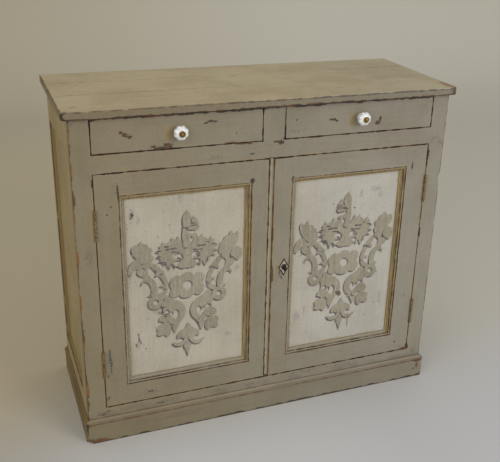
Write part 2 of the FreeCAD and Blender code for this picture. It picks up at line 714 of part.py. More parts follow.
door("left", -1, (-OPENING + dim.door_gap, LEFT_MEETING), left_inner)
door("right", 1, (RIGHT_MEETING, OPENING - dim.door_gap), right_inner)

# ------------------------------------------------------------------ hinges

KNUCKLES = 5
KNUCKLE_GAP = 0.15     # half the air between neighbouring knuckles
BORE_AIR = 0.05        # round the pin
NOTCH_AIR = 0.4        # between a leaf and the other leaf's knuckles


def hinge_leaf(blank, pin_x, centre_z, own):
    """A leaf with its own knuckles, notched for the other leaf's, and bored for the pin."""
    pin_y = FRONT - dim.hinge_pin_out
    knuckle = dim.hinge_length / KNUCKLES
    bottom = centre_z - dim.hinge_length / 2
    barrels, notches = [], []
    for index in range(KNUCKLES):
        low = bottom + knuckle * index
        under = 0 if index == 0 else KNUCKLE_GAP
        over = 0 if index == KNUCKLES - 1 else KNUCKLE_GAP
        if index % 2 == own:
            barrels.append(rod(dim.knuckle_radius, (pin_x, pin_y, low + under), knuckle - under - over))
        else:
            notches.append(rod(dim.knuckle_radius + NOTCH_AIR, (pin_x, pin_y, low - KNUCKLE_GAP),
                               knuckle + 2 * KNUCKLE_GAP))
    bore = rod(dim.hinge_pin_radius + BORE_AIR, (pin_x, pin_y, bottom - PAST),
               dim.hinge_length + 2 * PAST)
    notched = cut(blank, notches)
    return cut(fuse([notched] + barrels), [bore])


PIN_HEAD = 1.2
PIN_HEAD_LIP = 0.9     # heads beyond the pin, all round


def hinge_pin(pin_x, centre_z):
    """A pin with a low head at each end."""
    pin_y = FRONT - dim.hinge_pin_out
    low, high = centre_z - dim.hinge_length / 2, centre_z + dim.hinge_length / 2
    head_radius = dim.hinge_pin_radius + PIN_HEAD_LIP
    return fuse([rod(dim.hinge_pin_radius, (pin_x, pin_y, low), dim.hinge_length),
                 rod(head_radius, (pin_x, pin_y, low - PIN_HEAD), PIN_HEAD),
                 rod(head_radius, (pin_x, pin_y, high), PIN_HEAD)])


frame_leaves, pins = [], []
for side_name, sign in (("left", -1), ("right", 1)):
    pin_x = sign * (OPENING - dim.door_gap / 2)
    door_leaves = []
    for level, frame_blank, door_blank in zip(HINGE_LEVELS, frame_leaf_blanks[sign],
                                              door_leaf_blanks[sign]):
        frame_leaves.append(hinge_leaf(frame_blank, pin_x, level, own=0))
        door_leaves.append(hinge_leaf(door_blank, pin_x, level, own=1))
        pins.append(hinge_pin(pin_x, level))
    node(f"{side_name}_door_hinge_leaves", group(door_leaves))
node("frame_hinge_leaves", group(frame_leaves))
node("hinge_pins", group(pins))

# ------------------------------------------------------------------ lock on the right door, keep on the left


def spread(middle, half):
    """A stretch from its middle."""
    return (middle - half, middle + half)


def wider(pair, air):
    low, high = pair
    return (low - air, high + air)


LOCK_DEPTH = 12
LOCK_WIDTH = 59
LOCK_ABOVE = 30            # lock case above and below the middle of the lozenge
LOCK_BELOW = 36
LOCK_IN = 1                # lock and keep stand back from the edges of their doors
LOCK_BOLT_LENGTH = 40
LOCK_BOLT_BACK = 0.5       # bolt inside the case when drawn
KEY_ROOM = 2               # the key's hole goes this deep into the case
lock_y = (DOOR_BACK, DOOR_BACK + LOCK_DEPTH)
lock_z = (dim.escutcheon_z - LOCK_BELOW, dim.escutcheon_z + LOCK_ABOVE)
bolt_y = spread(lock_y[0] + LOCK_DEPTH / 2, 3)
bolt_z = spread(dim.escutcheon_z - 4, 8)
lock_x = (RIGHT_MEETING + LOCK_IN, RIGHT_MEETING + LOCK_IN + LOCK_WIDTH)
bolt_x = (lock_x[0] + LOCK_BOLT_BACK, lock_x[0] + LOCK_BOLT_BACK + LOCK_BOLT_LENGTH)

lock_channel = board((lock_x[0] - PAST, bolt_x[1] + FIT), wider(bolt_y, FIT), wider(bolt_z, FIT))
key_room = keyhole((DOOR_BACK - PAST, DOOR_BACK + KEY_ROOM))
node("lock_case", cut(board(lock_x, lock_y, lock_z), [lock_channel] + key_room))
node("lock_bolt", board(bolt_x, bolt_y, bolt_z))

LOZENGE_WIDTH = 32
LOZENGE_HEIGHT = 51
PLATE = 1.2


def escutcheon():
    """A lozenge plate with the keyhole through it."""
    x, z = dim.escutcheon_x, dim.escutcheon_z
    left_right, low_high = spread(x, LOZENGE_WIDTH / 2), spread(z, LOZENGE_HEIGHT / 2)
    plate = pad("XZ_Plane", ((left_right[0], z), (x, low_high[0]), (left_right[1], z), (x, low_high[1])),
                PLATE, "lozenge")
    place(plate, y=FRONT)
    return cut(plate, keyhole((FRONT - PLATE - PAST, FRONT + PAST)))


node("escutcheon", escutcheon())

KEEP_LENGTH = 28
POCKET_SPARE = 4           # pocket deeper than the bolt's travel
POCKET_AIR = 1
KEEP_WALL = 8              # above and below the bolt
keep_x = (LEFT_MEETING - LOCK_IN - KEEP_LENGTH, LEFT_MEETING - LOCK_IN)
keep_pocket = board((keep_x[1] - dim.lock_throw - POCKET_SPARE, keep_x[1] + PAST),
                    wider(bolt_y, POCKET_AIR), wider(bolt_z, POCKET_AIR))
node("lock_keep", cut(board(keep_x, lock_y, wider(bolt_z, KEEP_WALL)), [keep_pocket]))

# ------------------------------------------------------------------ bolt inside the left door

BOLT_RADIUS = 3
BOLT_OUT = 6.5             # middle of the bolt behind the door
BOLT_PLATE = 2
BOLT_PLATE_DROP = 14       # plate below the top of the door
BOLT_SHORT = 4             # bolt below the top of the door when drawn
STAPLE = 12
STAPLE_OUT = 12
STAPLE_IN = 4              # staples from the ends of the plate
FINGER_RADIUS = 2.6
FINGER_ROOM = 20           # between the staples, beyond the bolt's travel
KEEP_AIR = 1.2             # round the bolt in its keep
bolt_centre_y = DOOR_BACK + BOLT_OUT
plate_length = 2 * (STAPLE_IN + STAPLE) + FINGER_ROOM + dim.door_bolt_throw
plate_z = (door_z[1] - BOLT_PLATE_DROP - plate_length, door_z[1] - BOLT_PLATE_DROP)
staple_x = spread(dim.door_bolt_x, 7)


def shaft(radius, low, high):
    return rod(radius, (dim.door_bolt_x, bolt_centre_y, low), high - low)


plate = board(spread(dim.door_bolt_x, 12), (DOOR_BACK, DOOR_BACK + BOLT_PLATE), plate_z)
staples = [board(staple_x, (DOOR_BACK, DOOR_BACK + STAPLE_OUT), (low, low + STAPLE))
           for low in (plate_z[0] + STAPLE_IN, plate_z[1] - STAPLE_IN - STAPLE)]
node("door_bolt_plate",
     cut(fuse([plate] + staples), [shaft(BOLT_RADIUS + FIT, plate_z[0], plate_z[1])]))
finger_z = plate_z[0] + STAPLE_IN + STAPLE + 2 * FINGER_RADIUS
finger = rod(FINGER_RADIUS, (dim.door_bolt_x, bolt_centre_y, finger_z), STAPLE_OUT, "y")
node("door_bolt", fuse([shaft(BOLT_RADIUS, plate_z[0] + BOLT_PLATE, door_z[1] - BOLT_SHORT), finger]))

bolt_keep_z = (dim.middle_rail_bottom + 2, dim.middle_rail_bottom + 2 + STAPLE)
bolt_hole = BOLT_RADIUS + KEEP_AIR
keep_hole = board(spread(dim.door_bolt_x, bolt_hole), spread(bolt_centre_y, bolt_hole),
                  wider(bolt_keep_z, PAST))
bolt_keep = board(staple_x, (FRAME_BACK, DOOR_BACK + STAPLE_OUT), bolt_keep_z)
node("bolt_keep", cut(bolt_keep, [keep_hole]))

# ------------------------------------------------------------------ drawers

TAILS = 3
SIDE_LIFT = 0.5        # drawer sides above the runners
FRONT_LIFT = 2         # drawer front above the middle rail
BOTTOM_LIFT = 7.5      # drawer bottom above the lower edge of the sides
DRAWER_BACK_DROP = 6   # drawer back below the tops of the sides
drawer_front_y = (FRONT, DOOR_BACK)
drawer_side_low = dim.middle_rail_top + SIDE_LIFT
drawer_side_z = (drawer_side_low, drawer_side_low + dim.drawer_side_height)
drawer_front_z = (dim.middle_rail_top + FRONT_LIFT,
                  dim.middle_rail_top + FRONT_LIFT + dim.drawer_front_height)
drawer_end = FRONT + dim.drawer_length
drawer_bottom_low = drawer_side_low + BOTTOM_LIFT
drawer_bottom_z = (drawer_bottom_low, drawer_bottom_low + dim.drawer_bottom_thickness)
KNOB_LEVEL = (drawer_front_z[0] + drawer_front_z[1]) / 2


def tail(x, wide_y, root_y, centre_z):
    """One dovetail: full width at wide_y, narrower at its root."""
    wedge = doc.addObject("Part::Wedge", "tail")
    wide, narrow = dim.tail_wide / 2, dim.tail_narrow / 2
    (low_y, low_half), (high_y, high_half) = sorted(
        ((wide_y, wide), (root_y, narrow)), key=lambda end: end[0].number)
    values = {"Xmin": x[0], "Xmax": x[1], "X2min": x[0], "X2max": x[1], "Ymin": low_y, "Ymax": high_y,
              "Zmin": centre_z - low_half, "Zmax": centre_z + low_half,
              "Z2min": centre_z - high_half, "Z2max": centre_z + high_half}
    for prop, value in values.items():
        setattr(wedge, prop, as_size(value).number)
    for prop, value in values.items():
        bind(wedge, prop, value)
    return wedge


def lobed_section(height, crest, valley, lobes=8):
    """Closed wire of equal arcs round the knob's axis, at a height above its base."""
    arcs = []
    step = 2 * math.pi / lobes

    def at(radius, angle):
        return FreeCAD.Vector(radius * math.cos(angle), -height, radius * math.sin(angle))

    for index in range(lobes):
        angle = index * step
        arcs.append(Part.Arc(at(valley, angle), at(crest, angle + step / 2),
                             at(valley, angle + step)).toShape())
    return Part.Wire(arcs)


# Height, crest radius and valley radius of the knob, as parts of its height and half its diameter.
KNOB_PROFILE = ((0, 0.56, 0.53), (0.16, 0.50, 0.46), (0.33, 0.72, 0.63), (0.52, 0.96, 0.83),
                (0.68, 1.0, 0.87), (0.84, 0.88, 0.79), (0.95, 0.66, 0.62), (1, 0.48, 0.46))
BOLT_SHANK = 2.5
SHANK_AIR = 0.1        # between the shank and the knob's bore
CUP_RADIUS = 8.4
CUP = 1.2
DOME_RADIUS = 5.6
BOLT_TAIL = 7          # bolt behind the drawer front
NUT_RADIUS = 5
NUT = 4


def knob(x):
    """A lobed knob, lofted through scalloped sections and bored for its bolt."""
    height, radius = dim.knob_height.number, dim.knob_diameter.number / 2
    sections = [lobed_section(h * height, c * radius, v * radius) for h, c, v in KNOB_PROFILE]
    solid = Part.makeLoft(sections, True, False)
    bore = Part.makeCylinder(BOLT_SHANK + SHANK_AIR, height + 2 * PAST,
                             FreeCAD.Vector(0, PAST, 0), FreeCAD.Vector(0, -1, 0))
    lobed = doc.addObject("Part::Feature", "knob")
    lobed.Shape = solid.cut(bore)
    return place(lobed, x=x, y=FRONT, z=KNOB_LEVEL)


def knob_bolt(x):
    """A dome-headed bolt with a cup under its head, turned in one piece, and its nut."""
    height, reach = dim.knob_height, dim.knob_reach
    body = doc.addObject("PartDesign::Body", "bolt")
    tail_end = dim.frame_thickness - dim.front_set + BOLT_TAIL
    dome_height = (reach - height).number - CUP
    dome_arc = (DOME_RADIUS ** 2 + dome_height ** 2) / (2 * dome_height)
    points = ((0, tail_end), (0, -reach, dome_arc), (DOME_RADIUS, -height - CUP),
              (CUP_RADIUS, -height - CUP), (CUP_RADIUS, -height), (BOLT_SHANK, -height),
              (BOLT_SHANK, tail_end))
    sketch = outline(body, "XY_Plane", points)
    turned = body.newObject("PartDesign::Revolution", "Revolution")
    turned.Profile = sketch
    turned.ReferenceAxis = (sketch, ["V_Axis"])
    turned.Angle = 360
    place(body, x=x, y=FRONT, z=KNOB_LEVEL)
    nut = doc.addObject("Part::Prism", "nut")
    nut.Polygon = 6
    nut.Circumradius = NUT_RADIUS
    nut.Height = NUT
    nut.Placement = FreeCAD.Placement(FreeCAD.Vector(), FreeCAD.Rotation(FreeCAD.Vector(1, 0, 0), -90))
    place(nut, x=x, y=DOOR_BACK, z=KNOB_LEVEL)
    bore = rod(BOLT_SHANK, (x, DOOR_BACK - PAST, KNOB_LEVEL), NUT + 2 * PAST, "y")
    return group([body, cut(nut, [bore])])


def drawer(side_name, x):
    """A dovetailed drawer: lapped dovetails in front, through dovetails behind."""
    thick = dim.drawer_side_thickness
    bottom = board((x[0] + thick / 2, x[1] - thick / 2),
                   (DOOR_BACK - dim.drawer_bottom_thickness, drawer_end), drawer_bottom_z)
    side_stretches = ((x[0], x[0] + thick), (x[1] - thick, x[1]))
    step = dim.drawer_side_height / TAILS
    sides, front_tails, back_tails = [], [], []
    for stretch in side_stretches:
        own = []
        for index in range(TAILS):
            level = drawer_side_low + step * (index + 0.5)
            own.append(tail(stretch, FRONT + dim.drawer_lap, DOOR_BACK, level))
            own.append(tail(stretch, drawer_end, drawer_end - thick, level))
        front_tails += own[0::2]
        back_tails += own[1::2]
        blank = board(stretch, (DOOR_BACK, drawer_end - thick), drawer_side_z)
        sides.append(cut(fuse([blank] + own), [bottom]))
    knob_x = (x[0] + x[1]) / 2 + dim.knob_offset
    hole = rod(BOLT_SHANK + 3 * SHANK_AIR, (knob_x, FRONT - PAST, KNOB_LEVEL),
               dim.frame_thickness + 2 * PAST, "y")
    front = eased(board(x, drawer_front_y, drawer_front_z), dim.arris_radius, x=x, z=drawer_front_z)
    node(f"{side_name}_drawer_front", cut(front, front_tails + [bottom, hole]))
    node(f"{side_name}_drawer_sides", group(sides))
    back = board(x, (drawer_end - thick, drawer_end),
                 (drawer_bottom_z[1], drawer_side_z[1] - DRAWER_BACK_DROP))
    node(f"{side_name}_drawer_back", cut(back, back_tails))
    node(f"{side_name}_drawer_bottom", bottom)
    node(f"{side_name}_knob", knob(knob_x))
    node(f"{side_name}_knob_bolt", knob_bolt(knob_x))


drawer("left", (-OPENING + dim.door_gap, muntin_x[0] - dim.door_gap))
drawer("right", (muntin_x[1] + dim.door_gap, OPENING - dim.door_gap))

# ------------------------------------------------------------------ check and export

doc.recompute()
for item in doc.Objects:
    bad = [state for state in item.State if state in ("Invalid", "Error")]
    if bad:
        raise RuntimeError(f"{item.Label}: {bad}")
os.makedirs("parts", exist_ok=True)
whole = FreeCAD.BoundBox()
for piece in nodes:
    shape = piece.Shape
    if shape.isNull() or not shape.isValid() or not shape.Solids:
        raise RuntimeError(f"{piece.Label}: no valid solid")
    whole.add(shape.BoundBox)
    shape.exportStep(f"parts/{piece.Label}.step")
    print(f"{piece.Label}: {len(shape.Solids)} solid(s), {shape.Volume / 1000:.1f} cm3")
print(f"{len(nodes)} nodes; box {whole.XMin:.1f} {whole.XMax:.1f}, {whole.YMin:.1f} {whole.YMax:.1f}, "
      f"{whole.ZMin:.1f} {whole.ZMax:.1f}")
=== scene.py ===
# %% [markdown]
# # A painted jelly cupboard
#
# The cupboard is pine, painted grey-beige, rubbed back along its edges and waxed. Two drawers sit
# over two panelled doors. The panels are cream, with a grey acanthus ornament on each.
#
# The joinery comes in as fixed CAD pieces. This lesson gives them their finishes, adds the small
# things that a joiner would not draw (the ornament, screws, the rim of the keyhole plate), and
# sets up a plain studio. Lengths are in metres unless a name ends in `_MM` or `_mm`.

# %% Load the joinery
from math import cos, pi, radians, sin

import bmesh
import bpy
from mathutils import Matrix, Vector


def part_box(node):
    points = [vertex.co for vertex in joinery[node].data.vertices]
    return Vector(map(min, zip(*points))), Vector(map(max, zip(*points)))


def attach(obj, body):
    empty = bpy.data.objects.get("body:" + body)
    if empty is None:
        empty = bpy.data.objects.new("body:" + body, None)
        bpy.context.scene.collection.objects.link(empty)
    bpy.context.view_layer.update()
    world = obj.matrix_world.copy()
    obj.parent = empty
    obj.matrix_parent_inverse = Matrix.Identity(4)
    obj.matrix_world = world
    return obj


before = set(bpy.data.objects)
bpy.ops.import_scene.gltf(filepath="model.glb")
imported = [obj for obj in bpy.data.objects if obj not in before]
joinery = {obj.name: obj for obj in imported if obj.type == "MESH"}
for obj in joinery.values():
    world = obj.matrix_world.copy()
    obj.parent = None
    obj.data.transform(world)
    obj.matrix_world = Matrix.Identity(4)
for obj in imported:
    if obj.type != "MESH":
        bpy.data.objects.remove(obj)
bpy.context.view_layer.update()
scene = bpy.context.scene
MM = 0.001
print(len(joinery), "pieces of joinery")

# %% [markdown]
# ## Landmarks
#
# Wear follows the edges of the real pieces, so the finishes need to know where the doors, drawers,
# mouldings and corners are. They are read off the pieces themselves: if the cupboard changes size,
# the worn edges move with it. `outline_of` gives the middle and the half size of a box round some
# pieces, grown by half of the 2 mm gap, so that its outline runs along the middle of the gap.

# %% Where the edges are
HALF_GAP = 1 * MM


def outline_of(*names, grow=HALF_GAP):
    """Middle and half size of the box round these pieces."""
    corners = [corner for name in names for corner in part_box(name)]
    low = Vector([min(corner[axis] for corner in corners) - grow for axis in range(3)])
    high = Vector([max(corner[axis] for corner in corners) + grow for axis in range(3)])
    return (low + high) / 2, (high - low) / 2


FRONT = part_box("front_stile_left")[0].y
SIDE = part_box("front_stile_right")[1].x
PANEL_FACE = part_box("left_door_panel")[0].y
drawer_outlines = [outline_of("left_drawer_front"), outline_of("right_drawer_front")]
door_outlines = [outline_of("left_door_hinge_stile", "left_door_meeting_stile"),
                 outline_of("right_door_hinge_stile", "right_door_meeting_stile")]
moulding_outlines = [outline_of("left_door_moulding", grow=0), outline_of("right_door_moulding", grow=0)]
top_middle, top_half = outline_of("top_plank_front", "top_plank_back", grow=0)
TOP_FACE, TOP_UNDER = top_middle.z + top_half.z, top_middle.z - top_half.z
DOOR_TOP = door_outlines[0][0].z + door_outlines[0][1].z
DOOR_FOOT = door_outlines[0][0].z - door_outlines[0][1].z
plinth_low, plinth_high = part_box("plinth_front")
print("front face at y =", round(FRONT, 4), "and sides at x = +/-", round(SIDE, 3))

# %% [markdown]
# ## Talking to the node editor
#
# A finish is a graph of small steps. It could be clicked together in the shader editor, but a long
# graph is hard to read there and to repeat. These helpers keep each step to one line: `put` adds
# any node and wires it, `calc` does arithmetic on values and `vector_calc` on places, and `step`
# turns a value into a soft-edged mask.

# %% Arithmetic with nodes
def put(tree, kind, inputs=None, **settings):
    """Add a shader node; inputs are numbers, colours or the outputs of other nodes."""
    made = tree.nodes.new(kind)
    for name, value in settings.items():
        setattr(made, name, value)
    for key, value in (inputs or {}).items():
        if isinstance(value, bpy.types.NodeSocket):
            tree.links.new(value, made.inputs[key])
        else:
            made.inputs[key].default_value = value
    return made


def calc(tree, operation, first, second=0.0):
    return put(tree, "ShaderNodeMath", {0: first, 1: second}, operation=operation).outputs[0]


def product(tree, *values):
    """Several masks or numbers multiplied."""
    result = values[0]
    for value in values[1:]:
        result = calc(tree, "MULTIPLY", result, value)
    return result


def most(tree, *values):
    """The largest of several masks."""
    result = values[0]
    for value in values[1:]:
        result = calc(tree, "MAXIMUM", result, value)
    return result


def average(tree, *shares):
    """A sum of (value, weight)."""
    parts = [calc(tree, "MULTIPLY", value, weight) for value, weight in shares]
    result = parts[0]
    for part in parts[1:]:
        result = calc(tree, "ADD", result, part)
    return result


def apart(tree, first, second):
    """How far apart two values are."""
    return calc(tree, "ABSOLUTE", calc(tree, "SUBTRACT", first, second))


def vector_calc(tree, operation, first, second=(0, 0, 0)):
    made = put(tree, "ShaderNodeVectorMath", {0: first, 1: second}, operation=operation)
    return made.outputs["Value" if operation == "LENGTH" else "Vector"]


def axes(tree, place):
    """The x, y and z of a place, as three values."""
    return put(tree, "ShaderNodeSeparateXYZ", {"Vector": place}).outputs


def step(tree, value, low, high, start=0.0, end=1.0):
    """Go smoothly from start to end while the value goes from low to high."""
    return put(tree, "ShaderNodeMapRange",
               {"Value": value, "From Min": low, "From Max": high, "To Min": start, "To Max": end},
               interpolation_type="SMOOTHSTEP").outputs["Result"]


def in_front(tree, y, face, depth):
    """1 from a face to this depth behind it, 0 beyond."""
    return step(tree, y, face + depth + 1 * MM, face + depth - 1 * MM)


print("arithmetic helpers:", [helper.__name__ for helper in (calc, product, most, average, apart, step)])

# %% [markdown]
# Old paint is never one colour, and noise is what breaks it up: `grain` is Blender's noise, and
# `stretched` pulls it out into streaks. `layer` lays one colour over another. Colours are given as
# they are seen on a paint card, in sRGB bytes, and `paint_card` turns them into the linear values
# that shaders use; `tones` does so for a light and a dark tone of one paint.

# %% Noise and colour
def layer(tree, amount, under, over):
    """One colour over another, where the amount is above nothing."""
    return put(tree, "ShaderNodeMix", {0: amount, 6: under, 7: over}, data_type="RGBA").outputs[2]


def grain(tree, place, scale, detail=2.0, roughness=0.5):
    return put(tree, "ShaderNodeTexNoise", {"Vector": place, "Scale": scale, "Detail": detail,
                                            "Roughness": roughness}).outputs["Fac"]


def stretched(tree, place, scales, detail=3.0, roughness=0.6):
    """Noise with its own scale along each axis: a small number lies along the streaks."""
    return grain(tree, vector_calc(tree, "MULTIPLY", place, scales), 1.0, detail, roughness)


def paint_card(red, green, blue):
    """An sRGB colour in bytes, as the linear colour that a shader wants."""
    def linear(byte):
        share = byte / 255
        return share / 12.92 if share <= 0.04045 else ((share + 0.055) / 1.055) ** 2.4
    return (linear(red), linear(green), linear(blue), 1.0)


def tones(*cards):
    return tuple(paint_card(*card) for card in cards)


print("a mid grey card is", [round(channel, 3) for channel in paint_card(128, 128, 128)])

# %% [markdown]
# ## Effects as node groups
#
# An effect that several finishes share is a node group: built once, then placed in each material
# with its own values. `new_group` makes the group and its sockets, and `use` places it.

# %% Group helpers
VALUE, PLACE = "NodeSocketFloat", "NodeSocketVector"


def new_group(name, inputs, outputs):
    """An empty node group, its input sockets and its output sockets."""
    group = bpy.data.node_groups.new(name, "ShaderNodeTree")
    for label, kind, default in inputs:
        socket = group.interface.new_socket(label, in_out="INPUT", socket_type=kind)
        if default is not None:
            socket.default_value = default
    for label, kind in outputs:
        group.interface.new_socket(label, in_out="OUTPUT", socket_type=kind)
    given = group.nodes.new("NodeGroupInput").outputs
    result = group.nodes.new("NodeGroupOutput").inputs
    return group, given, result


def use(tree, group, inputs):
    return put(tree, "ShaderNodeGroup", inputs, node_tree=group).outputs


print("a group takes and gives sockets such as", VALUE, "and", PLACE)

# %% [markdown]
# ### How far is an edge?
#
# Paint rubs off where hands, cloths and brooms reach: along edges. Two groups measure that. "box
# outline" gives the distance to the faces of a box; a half size of ten metres along one axis makes
# that axis drop out, and leaves a rectangle. "arris" gives the distance to a straight edge.

# %% Distance groups
FAR = 10.0             # a half size that takes an axis out of the question


def make_box_outline():
    group, given, result = new_group(
        "box outline", [("Place", PLACE, None), ("Middle", PLACE, None), ("Half", PLACE, None)],
        [("Distance", VALUE)])
    offset = vector_calc(group, "SUBTRACT", given["Place"], given["Middle"])
    beyond = vector_calc(group, "SUBTRACT", vector_calc(group, "ABSOLUTE", offset), given["Half"])
    group.links.new(calc(group, "ABSOLUTE", most(group, *axes(group, beyond))), result["Distance"])
    return group


def make_arris():
    group, given, result = new_group(
        "arris", [("Place", PLACE, None), ("On edge", PLACE, None), ("Across", PLACE, (1, 1, 0))],
        [("Distance", VALUE)])
    offset = vector_calc(group, "SUBTRACT", given["Place"], given["On edge"])
    across = vector_calc(group, "MULTIPLY", offset, given["Across"])
    group.links.new(vector_calc(group, "LENGTH", across), result["Distance"])
    return group


box_outline, arris = make_box_outline(), make_arris()


def edge_distance(tree, place, on_edge, across=(1, 1, 0)):
    return use(tree, arris, {"Place": place, "On edge": on_edge, "Across": across})[0]


def rectangle(tree, place, outline):
    """Distance to a rectangle on the front."""
    middle, half = outline
    return use(tree, box_outline, {"Place": place, "Middle": middle, "Half": (half.x, FAR, half.z)})[0]


def shrunk(outline, inset):
    """The same rectangle, this much smaller all round."""
    middle, half = outline
    return middle, half - Vector((inset, 0, inset))


print("groups:", box_outline.name, "and", arris.name)

# %% [markdown]
# ### A worn line
#
# A real rubbed edge is never an even stripe. It swells and thins, its border is ragged, and it
# stops and starts. The group takes a distance and gives a mask: one noise sets the width as the
# line goes along, a finer one frays its border, and a slow one breaks it into stretches. `Cover`
# is about the share of the edge that is worn. `LINES` holds the width, the raggedness and the
# cover of every edge of the cupboard.

# %% Worn line group
def make_worn_line():
    group, given, result = new_group(
        "worn line", [("Distance", VALUE, 1.0), ("Place", PLACE, None), ("Width", VALUE, 2 * MM),
                      ("Ragged", VALUE, 2 * MM), ("Cover", VALUE, 0.8)], [("Mask", VALUE)])
    stretches = grain(group, given["Place"], 16, 3, 0.6)
    least = calc(group, "SUBTRACT", 0.70, calc(group, "MULTIPLY", given["Cover"], 0.42))
    present = step(group, calc(group, "SUBTRACT", stretches, least), -0.02, 0.04)
    swell = product(group, step(group, grain(group, given["Place"], 45, 2), 0.32, 0.68, 0.45, 1.6),
                    given["Width"])
    frayed = product(group, calc(group, "SUBTRACT", grain(group, given["Place"], 330, 3, 0.7), 0.5),
                     given["Ragged"])
    edge = calc(group, "ADD", given["Distance"], frayed)
    mask = step(group, calc(group, "SUBTRACT", swell, edge), 0.0, 0.5 * MM)
    group.links.new(product(group, mask, present), result["Mask"])
    return group


worn_line = make_worn_line()
LINES = {
    "drawer": (1.9, 3.2, 1.0), "under the top": (4.2, 2.2, 1.0), "door": (2.0, 2.8, 0.92),
    "moulding": (1.3, 1.8, 0.92), "moulding bead": (0.8, 1.8, 0.92), "rail joint": (0.5, 0.6, 0.5),
    "meeting": (2.9, 1.2, 1.0), "quirk": (1.3, 1.6, 1.0), "corner": (2.6, 3.6, 1.0),
    "seam": (1.7, 1.4, 1.0), "upper arris": (2.0, 2.2, 1.0), "lower arris": (3.4, 3.0, 1.0),
    "recess": (1.3, 2.0, 0.75), "nosing": (2.0, 1.8, 1.0), "cove": (0.9, 1.2, 0.8),
    "skirting corner": (3.0, 5.0, 1.0), "foot": (4.8, 3.4, 1.0),
}


def worn(tree, place, distance, kind):
    """The mask of a worn line of a kind, along an edge that is this far away."""
    width_mm, ragged_mm, cover = LINES[kind]
    return use(tree, worn_line, {"Distance": distance, "Place": place, "Width": width_mm * MM,
                                 "Ragged": ragged_mm * MM, "Cover": cover})[0]


print("group:", worn_line.name, "for", len(LINES), "kinds of line")

# %% [markdown]
# ### A mark
#
# Not all wear runs along an edge: a knock, a drip or a smudge is a spot of its own. A mark is an
# ellipse on a face, or an egg round a corner, and its border wanders with a noise. Each is placed
# one by one, since use leaves its marks where a hand, a key or a foot goes, which noise doesn't know.

# %% Mark group
def make_mark():
    group, given, result = new_group(
        "mark", [("Place", PLACE, None), ("Middle", PLACE, None), ("Half", PLACE, None),
                 ("Wander", VALUE, 0.0), ("Soft", VALUE, 0.2)], [("Mask", VALUE)])
    offset = vector_calc(group, "SUBTRACT", given["Place"], given["Middle"])
    reach = vector_calc(group, "LENGTH", vector_calc(group, "DIVIDE", offset, given["Half"]))
    group.links.new(step(group, calc(group, "ADD", reach, given["Wander"]),
                         calc(group, "ADD", given["Soft"], 1.0),
                         calc(group, "SUBTRACT", 1.0, given["Soft"])), result["Mask"])
    return group


mark = make_mark()


def wandering(tree, place, scale, much):
    """Noise round nothing, to push the border of a mark in and out."""
    return product(tree, calc(tree, "SUBTRACT", grain(tree, place, scale, 4, 0.7), 0.5), much)


def one_mark(tree, place, middle, half_mm, wander, soft=0.2):
    """A mark at a place, with its half size in millimetres along each axis."""
    half = [size * MM for size in half_mm]
    return use(tree, mark, {"Place": place, "Middle": middle, "Half": half, "Wander": wander,
                            "Soft": soft})[0]


def marks(tree, place, rows_mm, wander, soft=0.2):
    """Marks on the front, as one mask. A row is x, z, half width and half height."""
    return most(tree, *(one_mark(tree, place, (x * MM, 0, z * MM), (half_width, FAR / MM, half_height),
                                 wander, soft)
                        for x, z, half_width, half_height in rows_mm))


print("group:", mark.name)

# %% [markdown]
# ### Brushed paint and specks
#
# Chalky paint is put on with a coarse brush along the grain. It leaves fine streaks, slower
# changes where the brush was reloaded or the wax sank in, and a fine mottle from the roughness of
# the chalk. `Stretch` is the noise's scale along each axis, so a small number lies along the
# strokes. Specks are the dots that a flicked brush of dark wax leaves: a cell pattern's centres,
# of which only a share is kept.

# %% Brushed paint and speck groups
def make_brushed():
    group, given, result = new_group(
        "brushed paint", [("Place", PLACE, None), ("Stretch", PLACE, (8, 120, 120))],
        [("Streak", VALUE), ("Cloud", VALUE), ("Mottle", VALUE)])
    along = vector_calc(group, "MULTIPLY", given["Place"], given["Stretch"])
    group.links.new(grain(group, along, 1.0, 5, 0.62), result["Streak"])
    group.links.new(grain(group, given["Place"], 5.5, 4, 0.6), result["Cloud"])
    group.links.new(grain(group, given["Place"], 170, 3, 0.7), result["Mottle"])
    return group


def make_specks():
    group, given, result = new_group("specks", [("Place", PLACE, None), ("Scale", VALUE, 60.0),
                                                ("Share", VALUE, 0.3)], [("Mask", VALUE)])
    cells = put(group, "ShaderNodeTexVoronoi", {"Vector": given["Place"], "Scale": given["Scale"]})
    chosen = axes(group, cells.outputs["Color"])[0]
    dot = step(group, cells.outputs["Distance"], 0.20, 0.10)
    keep = calc(group, "LESS_THAN", chosen, given["Share"])
    group.links.new(product(group, dot, keep), result["Mask"])
    return group


brushed, specks = make_brushed(), make_specks()
STROKES = {"x": (5, 110, 110), "y": (110, 5, 110), "z": (110, 110, 5)}


def brush_strokes(tree, place, strokes):
    return use(tree, brushed, {"Place": place, "Stretch": STROKES[strokes]})


def brush_tone(tree, brush, streak, cloud, mottle):
    """The three noises as one tone; each is given as its weight and half of the span it uses."""
    shares = (("Streak", streak), ("Cloud", cloud), ("Mottle", mottle))
    return average(tree, *((step(tree, brush[name], 0.5 - span, 0.5 + span), weight)
                           for name, (weight, span) in shares))


def speckled(tree, place, scale, share):
    return use(tree, specks, {"Place": place, "Scale": scale, "Share": share})[0]


print("strokes along", sorted(STROKES))
